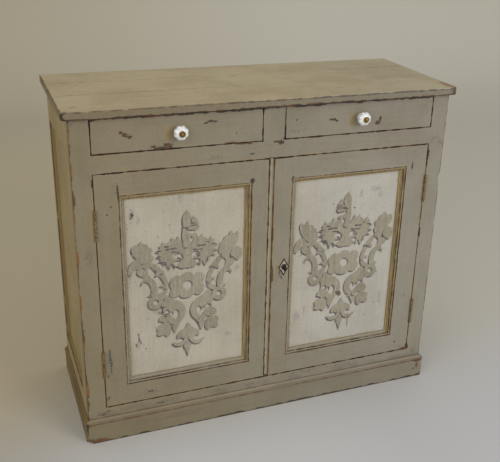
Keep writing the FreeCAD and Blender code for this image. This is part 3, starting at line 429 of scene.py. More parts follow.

# %% [markdown]
# ### Wear of the whole front
#
# The front frame, doors and drawer fronts were painted, rubbed back and used together, so they
# share their marks. A row says where a mark is on the front, (x, z) in millimetres, and then its
# half width and half height. Brown marks are rubbed through to the ground, bare ones to the wood;
# strokes are dry drags of a dark brush, and smudges are dirt from hands. Yellow wax sits beside
# the gaps, hinges and knobs, and most of its rows are worked out from where those are. Beside the
# knobs, where their shadows fall, the ochre is partly wax and partly painted shadow.

# %% Marks on the front
BROWN_MARKS_MM = (
    (-388, 871, 8, 5), (-397, 877, 6, 3.5), (-376, 865, 7, 4), (-172, 890, 7, 3), (-184, 886, 5, 2.2),
    (-160, 888, 5, 2.2), (-283, 836, 12, 7), (-302, 831, 18, 4), (-320, 836, 7, 2.5), (-105, 853, 2.2, 2.2),
    (-92, 825, 14, 3), (-70, 824, 8, 2.5), (165, 870, 9, 3), (176, 866, 5, 3), (300, 852, 8, 6),
    (307, 862, 4, 8), (18, 820, 10, 6), (4, 822, 6, 3), (29, 830, 4, 6), (471, 745, 4, 21),
    (471, 722, 3, 10), (471, 505, 3.5, 18), (-440, 670, 2.5, 2.5), (470, 115, 6, 12), (460, 108, 12, 4),
    (-411, 728, 2.5, 20), (-472, 757, 3, 12), (-120, 829, 16, 3), (-58, 721, 6, 7), (57, 715, 5, 6),
    (425, 139, 3, 3), (510, 58, 14, 5), (424, 716, 2.5, 12), (-430, 690, 2, 2), (-240, 868, 2, 1.6),
    (60, 876, 2, 1.6), (442, 300, 2, 2), (-8, 640, 2, 3), (500, 30, 3, 4),
)
BARE_MARKS_MM = (
    (-518, 715, 5, 14), (-518, 330, 4, 28), (-518, 170, 5, 26), (-518, 128, 4, 12), (-518, 560, 4, 30),
    (5, 432, 5, 20), (4, 458, 3, 12), (-58, 655, 2, 20), (512, 40, 4, 14), (-500, 8, 28, 4),
    (3, 560, 3, 30), (505, 62, 16, 3.5),
)
STROKES_MM = (
    (-453, 257, 3.2, 20), (-450, 240, 3, 8), (-451, 221, 2.4, 10), (-458, 204, 3, 6), (-453, 279, 2.4, 6),
    (-463, 132, 4, 8), (-60, 795, 9, 3), (28, 440, 3, 10), (34, 424, 3, 8), (-480, 86, 12, 4),
    (-468, 93, 7, 3), (-519, 60, 3, 8), (-345, 131, 9, 3), (-322, 87, 12, 3), (-456, 300, 2, 3),
)
SMUDGES_MM = (
    (490, 793, 15, 7), (505, 778, 8, 10), (478, 786, 8, 4), (-490, 560, 12, 20), (-345, 131, 24, 9),
    (-300, 88, 30, 8), (-453, 245, 6, 40), (-160, 795, 24, 5), (60, 845, 20, 4), (495, 96, 10, 12),
    (-140, 90, 40, 7), (250, 92, 50, 6), (20, 436, 8, 18), (-480, 88, 16, 8), (-400, 92, 40, 8),
    (-50, 88, 50, 6), (120, 96, 40, 6), (-515, 905, 6, 8), (435, 890, 20, 5), (18, 458, 3, 8),
    (460, 112, 16, 14), (-482, 772, 8, 10), (-418, 735, 7, 14), (-430, 60, 24, 4), (-200, 74, 40, 4),
    (440, 62, 40, 5), (-250, 40, 50, 10),
)
HINGE_LEVELS = (0.645, 0.243)
knob_places = [(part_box(name)[0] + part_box(name)[1]) / 2 for name in ("left_knob", "right_knob")]
# Ochre rows are wax; the two rows left of the knobs, where the knobs' shadows fall, are wax and painted
# shadow.
WAX_AND_KNOB_SHADOW_MARKS_MM = tuple((sign * 476, z / MM, 6, 50) for sign in (-1, 1) for z in HINGE_LEVELS) + tuple(
    (place.x / MM - 25, place.z / MM - 4, 14, 19) for place in knob_places) + (
    (22, 450, 10, 16), (3, 520, 5, 60), (-57, 560, 4, 90), (-57, 300, 4, 60))
print(len(BROWN_MARKS_MM + BARE_MARKS_MM), "worn marks and", len(SMUDGES_MM), "smudges on the front")

# %% [markdown]
# Then the group itself, with a mask for each coat: worn lines round every door, drawer and
# moulding, thin cracks where rails meet stiles, worn outer corners, and the marks. Some masks paint
# light and shade: a dark line under the top and at the doors' meeting is partly painted shadow, the
# hinge-side gaps are lightened, and the meeting bead gets a painted highlight. The lines are kept
# to the front 5 mm, so that the edges of an opened door aren't brown all over.

# %% Wear of the front
BEAD_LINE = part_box("right_door_meeting_stile")[0].x + 12.9 * MM
MEETING_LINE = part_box("left_door_meeting_stile")[1].x + 3 * MM
DRAWER_TOP = drawer_outlines[0][0].z + drawer_outlines[0][1].z
PLINTH_NOSE = plinth_high.z - 14 * MM
BEHIND_FRONT, BEHIND_BEAD = 5 * MM, 9 * MM
HINGE_SIDE = (461 * MM, 466 * MM)          # from here outwards, the doors' gap has its hinges
UNDER_TOP_ENDS = (473 * MM, 470 * MM)      # the dark line under the top fades out here
SETTLED_HEIGHT, HALO_WIDTH = 22 * MM, 11 * MM


def worn_corners(tree, place):
    """The cupboard's two upright front arrises."""
    return most(tree, *(worn(tree, place, edge_distance(tree, place, (sign * SIDE, FRONT, 0)), "corner")
                        for sign in (-1, 1)))


def make_front_wear():
    group, given, result = new_group(
        "front wear", [("Place", PLACE, None)],
        [("Rubbed and shaded", VALUE), ("Bare", VALUE), ("Ink", VALUE), ("Smudge", VALUE), ("Wax and painted light", VALUE),
         ("Bead highlight", VALUE)])
    place = given["Place"]
    x, y, z = axes(group, place)
    at_doors = product(group, step(group, z, DOOR_TOP, DOOR_TOP - 1 * MM),
                       step(group, z, DOOR_FOOT, DOOR_FOOT + 1 * MM))
    from_middle = calc(group, "ABSOLUTE", x)
    near_front, near_bead = (in_front(group, y, FRONT, depth) for depth in (BEHIND_FRONT, BEHIND_BEAD))

    def rims(outlines, kind):
        return [worn(group, place, rectangle(group, place, outline), kind) for outline in outlines]

    def upright_line(x_of_line, kind):
        return worn(group, place, edge_distance(group, place, (x_of_line, 0, 0), (1, 0, 0)), kind)

    drawers = most(group, *rims(drawer_outlines, "drawer"))
    # A dark line along the drawers' top edge: partly worn paint, partly painted shadow under the overhang
    # of the top.
    shadow_and_wear_under_top = worn(group, place, edge_distance(group, place, (0, 0, DRAWER_TOP), (0, 0, 1)),
                     "under the top")
    shadow_and_wear_under_top = product(group, shadow_and_wear_under_top, step(group, from_middle, *UNDER_TOP_ENDS))
    doors = most(group, *rims(door_outlines, "door"))
    # On the hinge side the dark rubbed line gives way to wax and bare wood, lighter than the gap's shade:
    # painted light.
    hinge_gap_light = product(group, doors, step(group, from_middle, *HINGE_SIDE))
    doors = calc(group, "SUBTRACT", doors, product(group, hinge_gap_light, 0.9))
    strips = most(group, *rims(moulding_outlines, "moulding"))
    # At the doors' meeting: a worn edge, darkened further as painted shade of the gap between the doors.
    meeting = product(group, upright_line(MEETING_LINE, "meeting"), at_doors, near_bead)
    brown = marks(group, place, BROWN_MARKS_MM, wandering(group, place, 150, 3.0))
    # the rubbed coat: worn edges and marks, with the painted shadow under the top
    rubbed = product(group, most(group, drawers, shadow_and_wear_under_top, doors, strips, brown), near_front)
    group.links.new(most(group, rubbed, meeting), result["Rubbed and shaded"])

    quirk = product(group, upright_line(BEAD_LINE, "quirk"), at_doors)
    corners = worn_corners(group, place)
    bare = marks(group, place, BARE_MARKS_MM, wandering(group, place, 110, 3.0))
    bare = most(group, quirk, corners, bare, product(group, hinge_gap_light, 0.4))
    group.links.new(product(group, bare, near_front), result["Bare"])

    joints = rims([(middle, Vector((half.x, half.y, FAR))) for middle, half in moulding_outlines],
                  "rail joint")
    strokes = product(group, marks(group, place, STROKES_MM, wandering(group, place, 120, 2.6)),
                      step(group, stretched(group, place, (420, 420, 130), 3, 0.7), 0.44, 0.50))
    ink = most(group, product(group, most(group, *joints), at_doors, 0.5), strokes)
    group.links.new(product(group, ink, near_front), result["Ink"])

    dry = step(group, grain(group, place, 230, 4, 0.75), 0.45, 0.60)
    smudge = marks(group, place, SMUDGES_MM, wandering(group, place, 60, 2.6), soft=0.5)
    dots = speckled(group, place, 105.0, 0.08)
    settled = product(group, step(group, z, plinth_high.z + SETTLED_HEIGHT, plinth_high.z),
                      step(group, z, plinth_high.z - 3 * MM, plinth_high.z - 1 * MM),
                      step(group, grain(group, place, 20, 4), 0.42, 0.62))
    dirt = most(group, product(group, smudge, dry, 0.6), product(group, dots, 0.7),
                product(group, settled, 0.4))
    group.links.new(product(group, dirt, near_front), result["Smudge"])

    # painted highlight: a lighter strip on the bead beside the doors' meeting, over its shaded side
    on_bead = product(group, step(group, x, MEETING_LINE + 2.2 * MM, MEETING_LINE + 3.4 * MM),
                      step(group, x, BEAD_LINE - 1.2 * MM, BEAD_LINE - 2.2 * MM))
    group.links.new(product(group, on_bead, at_doors, near_bead), result["Bead highlight"])

    door_distances = [rectangle(group, place, outline) for outline in door_outlines + moulding_outlines]
    halo = most(group, *(step(group, distance, HALO_WIDTH, 0) for distance in door_distances))
    patchy = step(group, grain(group, place, 14, 3), 0.38, 0.66)
    stains = marks(group, place, WAX_AND_KNOB_SHADOW_MARKS_MM, wandering(group, place, 40, 1.4), soft=0.55)
    # the wax coat, with the knobs' shadows painted ochre and the hinge-side gaps lightened as painted light
    wax = most(group, product(group, halo, patchy, 0.55), stains, hinge_gap_light)
    group.links.new(product(group, wax, near_front), result["Wax and painted light"])
    return group


front_wear = make_front_wear()
print("group:", front_wear.name, "with", len(front_wear.nodes), "nodes")

# %% [markdown]
# ## Painted wood
#
# Where the paint has gone, the old brown shows. Some places are rubbed to dark stain and others to
# orange pine, so two browns are mixed by noise. A tint by x and z then paints light and shade into
# the paint: the left end is made yellower as painted warm light from that side, and the drawers and
# the edge of the top are made darker towards the right as painted shade.

# %% Under the paint
DARK_GROUND, RED_GROUND = tones((44, 32, 20), (92, 56, 26))
BARE_WOOD, ORANGE_WOOD = tones((70, 48, 22), (118, 76, 24))
DIRT, INK = tones((74, 70, 62), (56, 52, 51))
# the first colour is a painted highlight for the meeting bead; the second is the yellow of old wax
BEAD_HIGHLIGHT, OLD_WAX = tones((178, 166, 136), (140, 118, 70))
# painted light: a warm tint for the left end, and a darker tint that paints shade at the upper right
WARM_LIGHT_TINT, UPPER_RIGHT_SHADE_TINT = (0.83, 0.755, 0.58, 1.0), (0.90, 0.885, 0.86, 1.0)


def patches_of(tree, place, slow, fine, span):
    """Patches with a fine ragged border, from a slow and a fine noise."""
    both = average(tree, (grain(tree, place, slow, 3), 0.6), (grain(tree, place, fine, 3, 0.7), 0.4))
    return step(tree, both, *span)


def ground(tree, place):
    """The old surface under the paint, dark stain in one place and red-brown pine in the next."""
    return layer(tree, patches_of(tree, place, 24, 260, (0.47, 0.58)), DARK_GROUND, RED_GROUND)


def bare_wood(tree, place):
    """Pine that has lost its stain as well, darkened again where it was handled."""
    return layer(tree, patches_of(tree, place, 34, 300, (0.44, 0.56)), BARE_WOOD, ORANGE_WOOD)


def tinted(tree, amount, colour, tint):
    return put(tree, "ShaderNodeMix", {0: amount, 6: colour, 7: tint}, data_type="RGBA",
               blend_type="MULTIPLY").outputs[2]


def painted_light_tint(tree, place, colour):
    """Painted warm light makes the left end yellower; painted shade darkens the drawers and the top's edge
    towards the right.
    """
    x, _, z = axes(tree, place)
    # painted warm light: yellower towards the left end
    yellower = tinted(tree, step(tree, x, 0.45, -0.55), colour, WARM_LIGHT_TINT)
    # painted shade: darker over the drawers and the top's edge, most at the right
    handled = product(tree, step(tree, z, DOOR_TOP - 0.12, TOP_UNDER - 0.06),
                      step(tree, x, -0.4, 0.4, 0.4, 1.0))
    return tinted(tree, handled, yellower, UPPER_RIGHT_SHADE_TINT)


print("dark stain is", [round(channel, 3) for channel in DARK_GROUND])

# %% [markdown]
# Every painted finish is built the same way: a light and a dark tone of the paint mixed by
# strokes, clouds and mottle, then the coats that came later: yellow wax, grey dirt, and last the
# rubbed places. Some coats also carry painted light and shade, as noted where they are made. A coat
# is a mask, a colour and a strength. The last mask also lowers the relief, because paint is missing
# there. With object coordinates the pattern opens with its door.

# %% Painted wood
PAINT_RELIEF_MM = 0.16


def new_material(name):
    """An empty material with its Principled shader and the object's own coordinates."""
    material = bpy.data.materials.new(name)
    material.use_nodes = True
    tree = material.node_tree
    tree.nodes.clear()
    shader = tree.nodes.new("ShaderNodeBsdfPrincipled")
    output = tree.nodes.new("ShaderNodeOutputMaterial")
    tree.links.new(shader.outputs[0], output.inputs["Surface"])
    place = tree.nodes.new("ShaderNodeTexCoord").outputs["Object"]
    return material, tree, shader, place


def wire(tree, shader, colour, rough, height=None, relief_mm=0.0):
    """Give the shader its colour, its roughness (a number or a mask) and, if any, small relief."""
    tree.links.new(colour, shader.inputs["Base Color"])
    if isinstance(rough, bpy.types.NodeSocket):
        tree.links.new(rough, shader.inputs["Roughness"])
    else:
        shader.inputs["Roughness"].default_value = rough
    if height is not None:
        bump = put(tree, "ShaderNodeBump", {"Height": height, "Distance": relief_mm * MM, "Strength": 1.0})
        tree.links.new(bump.outputs[0], shader.inputs["Normal"])


def painted(name, strokes, light_and_dark, coats, tint=None, rough=0.62):
    """Brushed paint under later coats: coats(tree, place) gives (mask, colour, strength) in order."""
    material, tree, shader, place = new_material(name)
    tone = brush_tone(tree, brush_strokes(tree, place, strokes), (0.24, 0.20), (0.46, 0.14), (0.30, 0.20))
    colour = layer(tree, tone, *light_and_dark)
    if tint:
        colour = tint(tree, place, colour)
    later = coats(tree, place)
    for mask, over, strength in later:
        colour = layer(tree, product(tree, mask, strength), colour, over)
    rubbed = later[-1][0]
    height = calc(tree, "SUBTRACT", product(tree, tone, 0.5), rubbed)
    wire(tree, shader, colour, step(tree, tone, 0, 1, rough - 0.06, rough + 0.06), height, PAINT_RELIEF_MM)
    return material


def front_coats(tree, place):
    wear = use(tree, front_wear, {"Place": place})
    # The bead coat is a painted highlight. The wax coat also paints the knobs' shadows ochre and lightens
    # the hinge-side gaps, and the rubbed coat also paints shadow under the top and in the doors' meeting
    # gap.
    return ((wear["Wax and painted light"], OLD_WAX, 0.55), (wear["Bead highlight"], BEAD_HIGHLIGHT, 0.7), (wear["Smudge"], DIRT, 0.85),
            (wear["Ink"], INK, 0.85), (wear["Bare"], bare_wood(tree, place), 0.9),
            (wear["Rubbed and shaded"], ground(tree, place), 0.94))


GREY = tones((141, 135, 121), (125, 118, 102))
upright_paint = painted("grey paint, upright", "z", GREY, front_coats, painted_light_tint)
level_paint = painted("grey paint, level", "x", GREY, front_coats, painted_light_tint)
print("painted:", upright_paint.name, "and", level_paint.name)

# %% [markdown]
# ## The top
#
# The top was waxed most, so it is yellower. Three planks make it, and brown has settled in their
# joints at the left end. The edges of the top are grey like the front. The left front corner was
# knocked, and a dark crescent of bare wood went round it, darkened further as painted shade on its
# side away from the light; the right front corner is bruised. The dark line along the lower arris
# is partly wear and partly painted shadow under the overhang.

# %% Top paint
TOP_MARKS_MM = ((-505, -157, 7, 3), (-497, -155, 5, 2), (-436, -64, 3, 2), (-26, 85, 7, 3),
                (-18, 88, 4, 2), (215, -120, 10, 2), (330, 40, 7, 2.5), (120, 20, 5, 2), (415, -90, 8, 2))
JOINTS_Y = [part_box("top_plank_front")[1].y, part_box("top_plank_middle")[1].y]
LEFT_CORNER = Vector((-0.527, -0.197, 0.928))
RIGHT_CORNER = Vector((0.533, -0.198, 0.928))
# painted shade: the top greyer and darker towards its right end
TOP_RIGHT_SHADE_TINT = (0.93, 0.96, 1.0, 1.0)
TOP_PAINT = tones((173, 158, 125), (150, 134, 101))
TOP_EDGE_PAINT = tones((136, 128, 110), (108, 99, 80))
SEAM_BROWN, SPOT_BROWN = tones((84, 62, 34), (104, 72, 36))


def top_tint(tree, place, colour):
    """Painted shade makes the top greyer and darker to the right; below its upper arris it takes the grey
    of the front.
    """
    x, _, z = axes(tree, place)
    # painted shade, growing towards the right end
    shaded_right = tinted(tree, step(tree, x, -0.1, 0.5), colour, TOP_RIGHT_SHADE_TINT)
    mottle = brush_strokes(tree, place, "x")["Mottle"]
    grey = painted_light_tint(tree, place, layer(tree, mottle, *TOP_EDGE_PAINT))
    return layer(tree, step(tree, z, TOP_FACE - 1.2 * MM, TOP_FACE - 3 * MM), shaded_right, grey)


def top_coats(tree, place):
    x, y, z = axes(tree, place)
    on_face = step(tree, z, TOP_FACE - 1 * MM, TOP_FACE - 0.2 * MM)
    figure = product(tree, step(tree, stretched(tree, place, (2.2, 60, 60)), 0.60, 0.72), on_face)
    wander = wandering(tree, place, 130, 1.6)
    spots = most(tree, *(
        one_mark(tree, place, (at_x * MM, at_y * MM, 0), (half_x, half_y, FAR / MM), wander)
        for at_x, at_y, half_x, half_y in TOP_MARKS_MM))
    joints = [worn(tree, place, edge_distance(tree, place, (0, at, 0), (0, 1, 0)), "seam")
              for at in JOINTS_Y]
    near_ends = most(tree, step(tree, x, 0.1, -0.46, 0.25, 1.0), step(tree, x, 0.15, 0.42, 0.25, 0.9))
    seams = product(tree, most(tree, *joints), near_ends, on_face)

    ends = step(tree, edge_distance(tree, place, (-top_half.x, 0, TOP_FACE), (1, 0, 1)), 4.5 * MM, 1 * MM)
    left_end = product(tree, ends, step(tree, grain(tree, place, 90, 3, 0.7), 0.36, 0.52))
    right_end = product(tree, one_mark(tree, place, (top_half.x, -0.160, TOP_FACE), (22, 40, 22), wander),
                        on_face)
    orange = most(tree, product(tree, left_end, step(tree, y, 0.02, -0.10)), right_end)

    rim = use(tree, box_outline, {"Place": place, "Middle": top_middle,
                                  "Half": (top_half.x, top_half.y, FAR)})[0]
    sunk = step(tree, x, -0.40, 0.10, 0.6 * MM, 2.2 * MM)
    upper_line = apart(tree, calc(tree, "ADD", z, sunk), TOP_FACE)
    upper = worn(tree, place, most(tree, rim, upper_line), "upper arris")
    # the lower arris: worn paint, and painted shadow under the overhang
    lower_line = edge_distance(tree, place, (0, 0, TOP_UNDER), (0, 0, 1))
    lower = worn(tree, place, most(tree, rim, lower_line), "lower arris")
    # the crescent round the left corner: worn wood, and painted shade on its side away from the light
    whole = one_mark(tree, place, LEFT_CORNER, (11, 16, 10.5), 0.0)
    inside = one_mark(tree, place, LEFT_CORNER + Vector((4.5, -6, 1)) * MM, (8.5, 16, 7), 0.0)
    crescent = calc(tree, "MAXIMUM", calc(tree, "SUBTRACT", whole, inside), 0.0)
    bruise = one_mark(tree, place, RIGHT_CORNER, (16, 12, 14), wander)
    behind = product(tree, left_end, step(tree, y, -0.10, 0.02))
    upper_colour = layer(tree, step(tree, x, -0.1, 0.25), ground(tree, place), INK)
    return ((figure, OLD_WAX, 0.35), (seams, SEAM_BROWN, 0.9), (spots, SPOT_BROWN, 0.85),
            (orange, ORANGE_WOOD, 0.8), (upper, upper_colour, 0.8),
            (product(tree, behind, 0.8), BARE_WOOD, 0.9), (lower, ground(tree, place), 0.9),
            (most(tree, crescent, product(tree, bruise, 0.75)), DARK_GROUND, 0.95))


top_paint = painted("waxed paint of the top", "x", TOP_PAINT, top_coats, top_tint, rough=0.5)
print("painted:", top_paint.name, "with joints at y =", [round(at, 3) for at in JOINTS_Y])

# %% [markdown]
# ## The sides
#
# A side is a frame round a deeply recessed panel. Its paint is yellower, partly from wax and partly
# as painted warm light from the left. Its front corner is worn like the front's, and the corners of
# the recess are darker: partly old brown wax, left where no cloth reaches, and partly painted shade.
# The stiles are brushed upright and the rails level, as a painter would.

# %% Side paint
# yellower than the front's grey: partly wax, partly painted warm light
SIDE_PAINT = tones((156, 139, 99), (132, 115, 75))


def side_coats(tree, place):
    """Worn round the recess of each side; its corners are darker with old wax and painted shade."""
    low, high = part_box("side_left_panel")
    hidden = 8 * MM                     # edge of the panel inside its groove
    x = axes(tree, place)[0]
    recess = use(tree, box_outline, {"Place": place, "Middle": (low + high) / 2,
                                     "Half": (FAR, (high.y - low.y) / 2 - hidden,
                                              (high.z - low.z) / 2 - hidden)})[0]
    outer_face = step(tree, calc(tree, "ABSOLUTE", x), SIDE - 4 * MM, SIDE - 1 * MM)
    edge = product(tree, worn(tree, place, recess, "recess"), outer_face)
    # darker in the corners of the recess: old wax and painted shade
    wax = product(tree, step(tree, recess, 20 * MM, 0), calc(tree, "SUBTRACT", 1.0, outer_face))
    return ((wax, OLD_WAX, 0.6), (worn_corners(tree, place), bare_wood(tree, place), 0.9),
            (edge, ground(tree, place), 0.9))


side_upright_paint = painted("side paint, upright", "z", SIDE_PAINT, side_coats)
side_level_paint = painted("side paint, level", "y", SIDE_PAINT, side_coats)
print("painted:", side_upright_paint.name, "and", side_level_paint.name)

# %% [markdown]
# ## The skirting
#
# The skirting, or plinth, is worn along its nosing and where brooms and feet meet it. Its front is
# greyer. Its sides are brown, partly from dirt and old wax and partly as painted shade. It takes
# the marks of the front as well, apart from the bead, and adds its own lines, among them a dark
# line along its foot that is a painted contact shadow.

# %% Skirting paint
SKIRTING_PAINT = tones((133, 126, 110), (116, 108, 91))
# the sides: dirt and old wax, darkened further as painted shade
SKIRTING_SIDE_SHADED_PAINT = tones((116, 96, 51), (92, 75, 37))
RUSTY = paint_card(98, 64, 30)


def plinth_coats(tree, place):
    """Worn along the nosing, at the corners and at the left foot, with a painted contact shadow along the
    bottom.
    """
    def level_line(level, kind):
        return worn(tree, place, edge_distance(tree, place, (0, 0, level), (0, 0, 1)), kind)

    rusty = most(tree, level_line(PLINTH_NOSE, "nosing"), level_line(plinth_high.z, "cove"))
    corners = [worn(tree, place, edge_distance(tree, place, (x, plinth_low.y, 0)), "skirting corner")
               for x in (plinth_low.x + 3 * MM, plinth_high.x)]
    foot = one_mark(tree, place, (plinth_low.x + 16 * MM, plinth_low.y, 0), (44, 22, 14),
                    wandering(tree, place, 90, 2.4))
    wax, _, smudge, ink, bare, rubbed = front_coats(tree, place)
    # The dark line along the foot, at z = 0, is a painted contact shadow.
    return (wax, smudge, ink, (product(tree, foot, 0.8), bare_wood(tree, place), 0.9),
            (most(tree, bare[0], rusty), RUSTY, 0.9), (level_line(0.0, "foot"), DARK_GROUND, 0.85),
            (most(tree, rubbed[0], *corners), ground(tree, place), 0.92))


plinth_paint = painted("plinth paint", "x", SKIRTING_PAINT, plinth_coats, painted_light_tint)
plinth_side_paint = painted("plinth paint of the sides", "y", SKIRTING_SIDE_SHADED_PAINT, plinth_coats)
print("painted:", plinth_paint.name, "and", plinth_side_paint.name)

# %% [markdown]
# ## Cream panels and the mouldings round them
#
# The panels are cream, brushed up and down, with fine grey specks, a few dry scuffs and old wax
# along the mouldings. The left panel's cream is yellower, as painted warm light, and an ochre band
# along each panel's right edge is glazed wax and painted shade from the moulding beside it. The
# mouldings are grey like the doors, with rubbed lines. The strips above the panels and to their
# right kept most of the brown wax, and are darkened further as painted shade.

# %% Cream paint
# The left cream is yellower: painted warm light from the left.
CREAM_LEFT_WARM_LIT = tones((176, 169, 152), (156, 148, 131))
CREAM_RIGHT = tones((177, 173, 162), (158, 153, 141))
CREAM_SPECK, GLAZED_WAX_AND_SHADE = tones((112, 106, 94), (146, 118, 62))
PANEL_SMUDGES_MM = (
    (-378, 655, 7, 20), (-371, 300, 2, 14), (-372, 280, 4, 18), (-312, 372, 14, 13), (-362, 640, 5, 12),
    (322, 655, 16, 9), (336, 638, 8, 12), (258, 255, 2, 24), (90, 282, 10, 20),
    (-240, 702, 46, 4), (-120, 265, 10, 7), (-390, 500, 5, 34), (275, 645, 5, 10), (-250, 690, 6, 14),
    (362, 300, 5, 22), (115, 300, 4, 14), (-95, 470, 6, 10), (60, 620, 4, 20),
)
PANEL_BROWNS_MM = ((-377, 657, 2.4, 5), (-381, 648, 2, 3), (224, 336, 7, 9), (215, 341, 3, 4),
                   (256, 604, 2.4, 3), (259, 236, 1.2, 20), (-352, 262, 2, 2), (-296, 352, 4, 2))
PANEL_STROKES_MM = ((-371, 300, 2.6, 13), (-366, 284, 2, 8), (-378, 276, 2, 6), (-376, 657, 4, 9),
                    (-303, 381, 9, 3), (-308, 366, 9, 3), (-296, 358, 7, 2.5),
                    (-240, 704, 12, 2))
MOULDING_WIDTH = 15 * MM


def on_panel_face(tree, place):
    return in_front(tree, axes(tree, place)[1], PANEL_FACE, 2 * MM)


def panel_wear(tree, place, colour):
    """Dry strokes and rubbed spots, over the cream and over the ornament alike, on the face only."""
    on_face = on_panel_face(tree, place)
    strokes = product(tree, marks(tree, place, PANEL_STROKES_MM, wandering(tree, place, 140, 3.0)),
                      step(tree, stretched(tree, place, (420, 420, 150), 3, 0.7), 0.42, 0.50))
    colour = layer(tree, product(tree, strokes, on_face, 0.85), colour, INK)
    brown = marks(tree, place, PANEL_BROWNS_MM, wandering(tree, place, 190, 2.2))
    colour = layer(tree, product(tree, brown, on_face, 0.85), colour, ground(tree, place))
    dots = most(tree, speckled(tree, place, 110.0, 0.30), speckled(tree, place, 64.0, 0.10))
    return layer(tree, product(tree, dots, 0.75), colour, CREAM_SPECK)


def cream_paint():
    material, tree, shader, place = new_material("cream paint of the panels")
    tone = brush_tone(tree, brush_strokes(tree, place, "z"), (0.25, 0.18), (0.50, 0.15), (0.25, 0.20))
    x, on_face = axes(tree, place)[0], on_panel_face(tree, place)
    colour = layer(tree, step(tree, x, -0.05, 0.25), layer(tree, tone, *CREAM_LEFT_WARM_LIT),
                   layer(tree, tone, *CREAM_RIGHT))
    near_strips = most(tree, *(
        step(tree, rectangle(tree, place, shrunk(outline, MOULDING_WIDTH)), 8 * MM, 0.0)
        for outline in moulding_outlines))
    wax = product(tree, near_strips, step(tree, grain(tree, place, 17, 3), 0.40, 0.62))
    colour = layer(tree, product(tree, wax, on_face, 0.42), colour, OLD_WAX)
    # an ochre band along the right edge of each panel: glazed wax, and painted shade from the moulding
    # beside it
    glazed = most(tree, *(step(tree, apart(tree, x, middle.x + half.x - MOULDING_WIDTH), 5 * MM, 0)
                          for middle, half in moulding_outlines))
    colour = layer(tree, product(tree, glazed, on_face, 0.75), colour, GLAZED_WAX_AND_SHADE)
    dry = step(tree, grain(tree, place, 260, 4, 0.75), 0.42, 0.64)
    smudge = marks(tree, place, PANEL_SMUDGES_MM, wandering(tree, place, 90, 2.4), soft=0.45)
    colour = layer(tree, product(tree, smudge, dry, on_face, 0.6), colour, DIRT)
    wire(tree, shader, panel_wear(tree, place, colour), 0.6, tone, relief_mm=0.12)
    return material


panel_paint = cream_paint()
print("made", panel_paint.name)

# %% [markdown]
# A moulding has a bead along its middle, so it is worn twice: on its outer arris and on the bead.
# `strip_masks` tells the strips apart, because wax was left on some and rubbed off others, and the
# strips that face away from the light, to the right of the panels and above them, are darkened as
# painted shade.

# %% Moulding paint
BEAD_INSET = 6.6 * MM      # the moulding's bead, in from its outer edge
STRIP_PAINT = tones((146, 136, 113), (128, 117, 94))
# wax on the strips, darker as painted shade where they face away from the light
STRIP_WAX_AND_SHADE = tones((150, 129, 84), (96, 77, 44))
LOWER_STRIP = paint_card(122, 113, 96)


def strip_masks(tree, place):
    """The upright strips to the right of the panels, the strips over them, and those below."""
    x, _, z = axes(tree, place)
    rights = []
    for middle, half in moulding_outlines:
        edge = middle.x + half.x
        inside = step(tree, x, edge - MOULDING_WIDTH - 1 * MM, edge - MOULDING_WIDTH + 1 * MM)
        rights.append(product(tree, inside, step(tree, x, edge + 2 * MM, edge + 1 * MM)))
    middle, half = moulding_outlines[0]
    reach = half.z - MOULDING_WIDTH
    above = step(tree, z, middle.z + reach - 1 * MM, middle.z + reach)
    below = step(tree, z, middle.z - reach + 1 * MM, middle.z - reach)
    return most(tree, *rights), above, below


def moulding_paint():
    material, tree, shader, place = new_material("moulding paint with wax")
    fine = grain(tree, place, 210, 3, 0.6)
    inward = calc(tree, "MINIMUM", *(rectangle(tree, place, outline) for outline in moulding_outlines))
    base = layer(tree, step(tree, fine, 0.4, 0.6), *STRIP_PAINT)
    streak = step(tree, stretched(tree, place, (420, 420, 14)), 0.40, 0.62)
    waxed = layer(tree, streak, *STRIP_WAX_AND_SHADE)
    rights, above, below = strip_masks(tree, place)
    on_bead = product(tree, step(tree, inward, BEAD_INSET - 1.6 * MM, BEAD_INSET - 0.6 * MM),
                      step(tree, inward, BEAD_INSET + 2.6 * MM, BEAD_INSET + 1.4 * MM))
    # the right and upper strips: wax and painted shade
    amount = product(tree, most(tree, rights, product(tree, above, 0.85)),
                     calc(tree, "SUBTRACT", 0.95, product(tree, on_bead, 0.5)))
    base = layer(tree, product(tree, below, 0.6), base, LOWER_STRIP)
    hollow = step(tree, inward, BEAD_INSET + 1 * MM, MOULDING_WIDTH)
    patchy = step(tree, grain(tree, place, 14, 3), 0.36, 0.64)
    colour = layer(tree, most(tree, amount, product(tree, hollow, patchy, 0.35)), base, waxed)
    edges = [worn(tree, place, rectangle(tree, place, shrunk(outline, inset)), kind)
             for outline in moulding_outlines
             for inset, kind in ((0.0, "moulding"), (BEAD_INSET, "moulding bead"))]
    colour = layer(tree, product(tree, most(tree, *edges), 0.85), colour, ground(tree, place))
    wire(tree, shader, colour, 0.55, fine, relief_mm=0.12)
    return material


strip_paint = moulding_paint()
print("made", strip_paint.name)

# %% [markdown]
# ## Bare wood, metal and glaze
#
# Insides were never painted. Pine has wide yellow early wood and thin darker late wood along each
# board, so its pattern is a wave, stretched along the grain and bent by noise. The back boards
# also show the heads of the nails that hold them. The knobs are glazed white china, so they get a
# clear coat. Hinges, lock and bolts are old metal, bright in patches and dull elsewhere.

# %% Bare pine
NAIL_ROWS_Z, NAIL_PITCH, NAIL_RADIUS = (0.06, 0.449, 0.905), 85 * MM, 2.6 * MM
EARLY_WOOD = tones((196, 164, 118), (181, 145, 98))
LATE_WOOD, WOOD_DUST, NAIL = tones((150, 106, 62), (120, 88, 56), (70, 58, 50))
ALONG_BOARD = {"x": (0.9, 26, 26), "y": (26, 0.9, 26), "z": (26, 26, 0.9)}


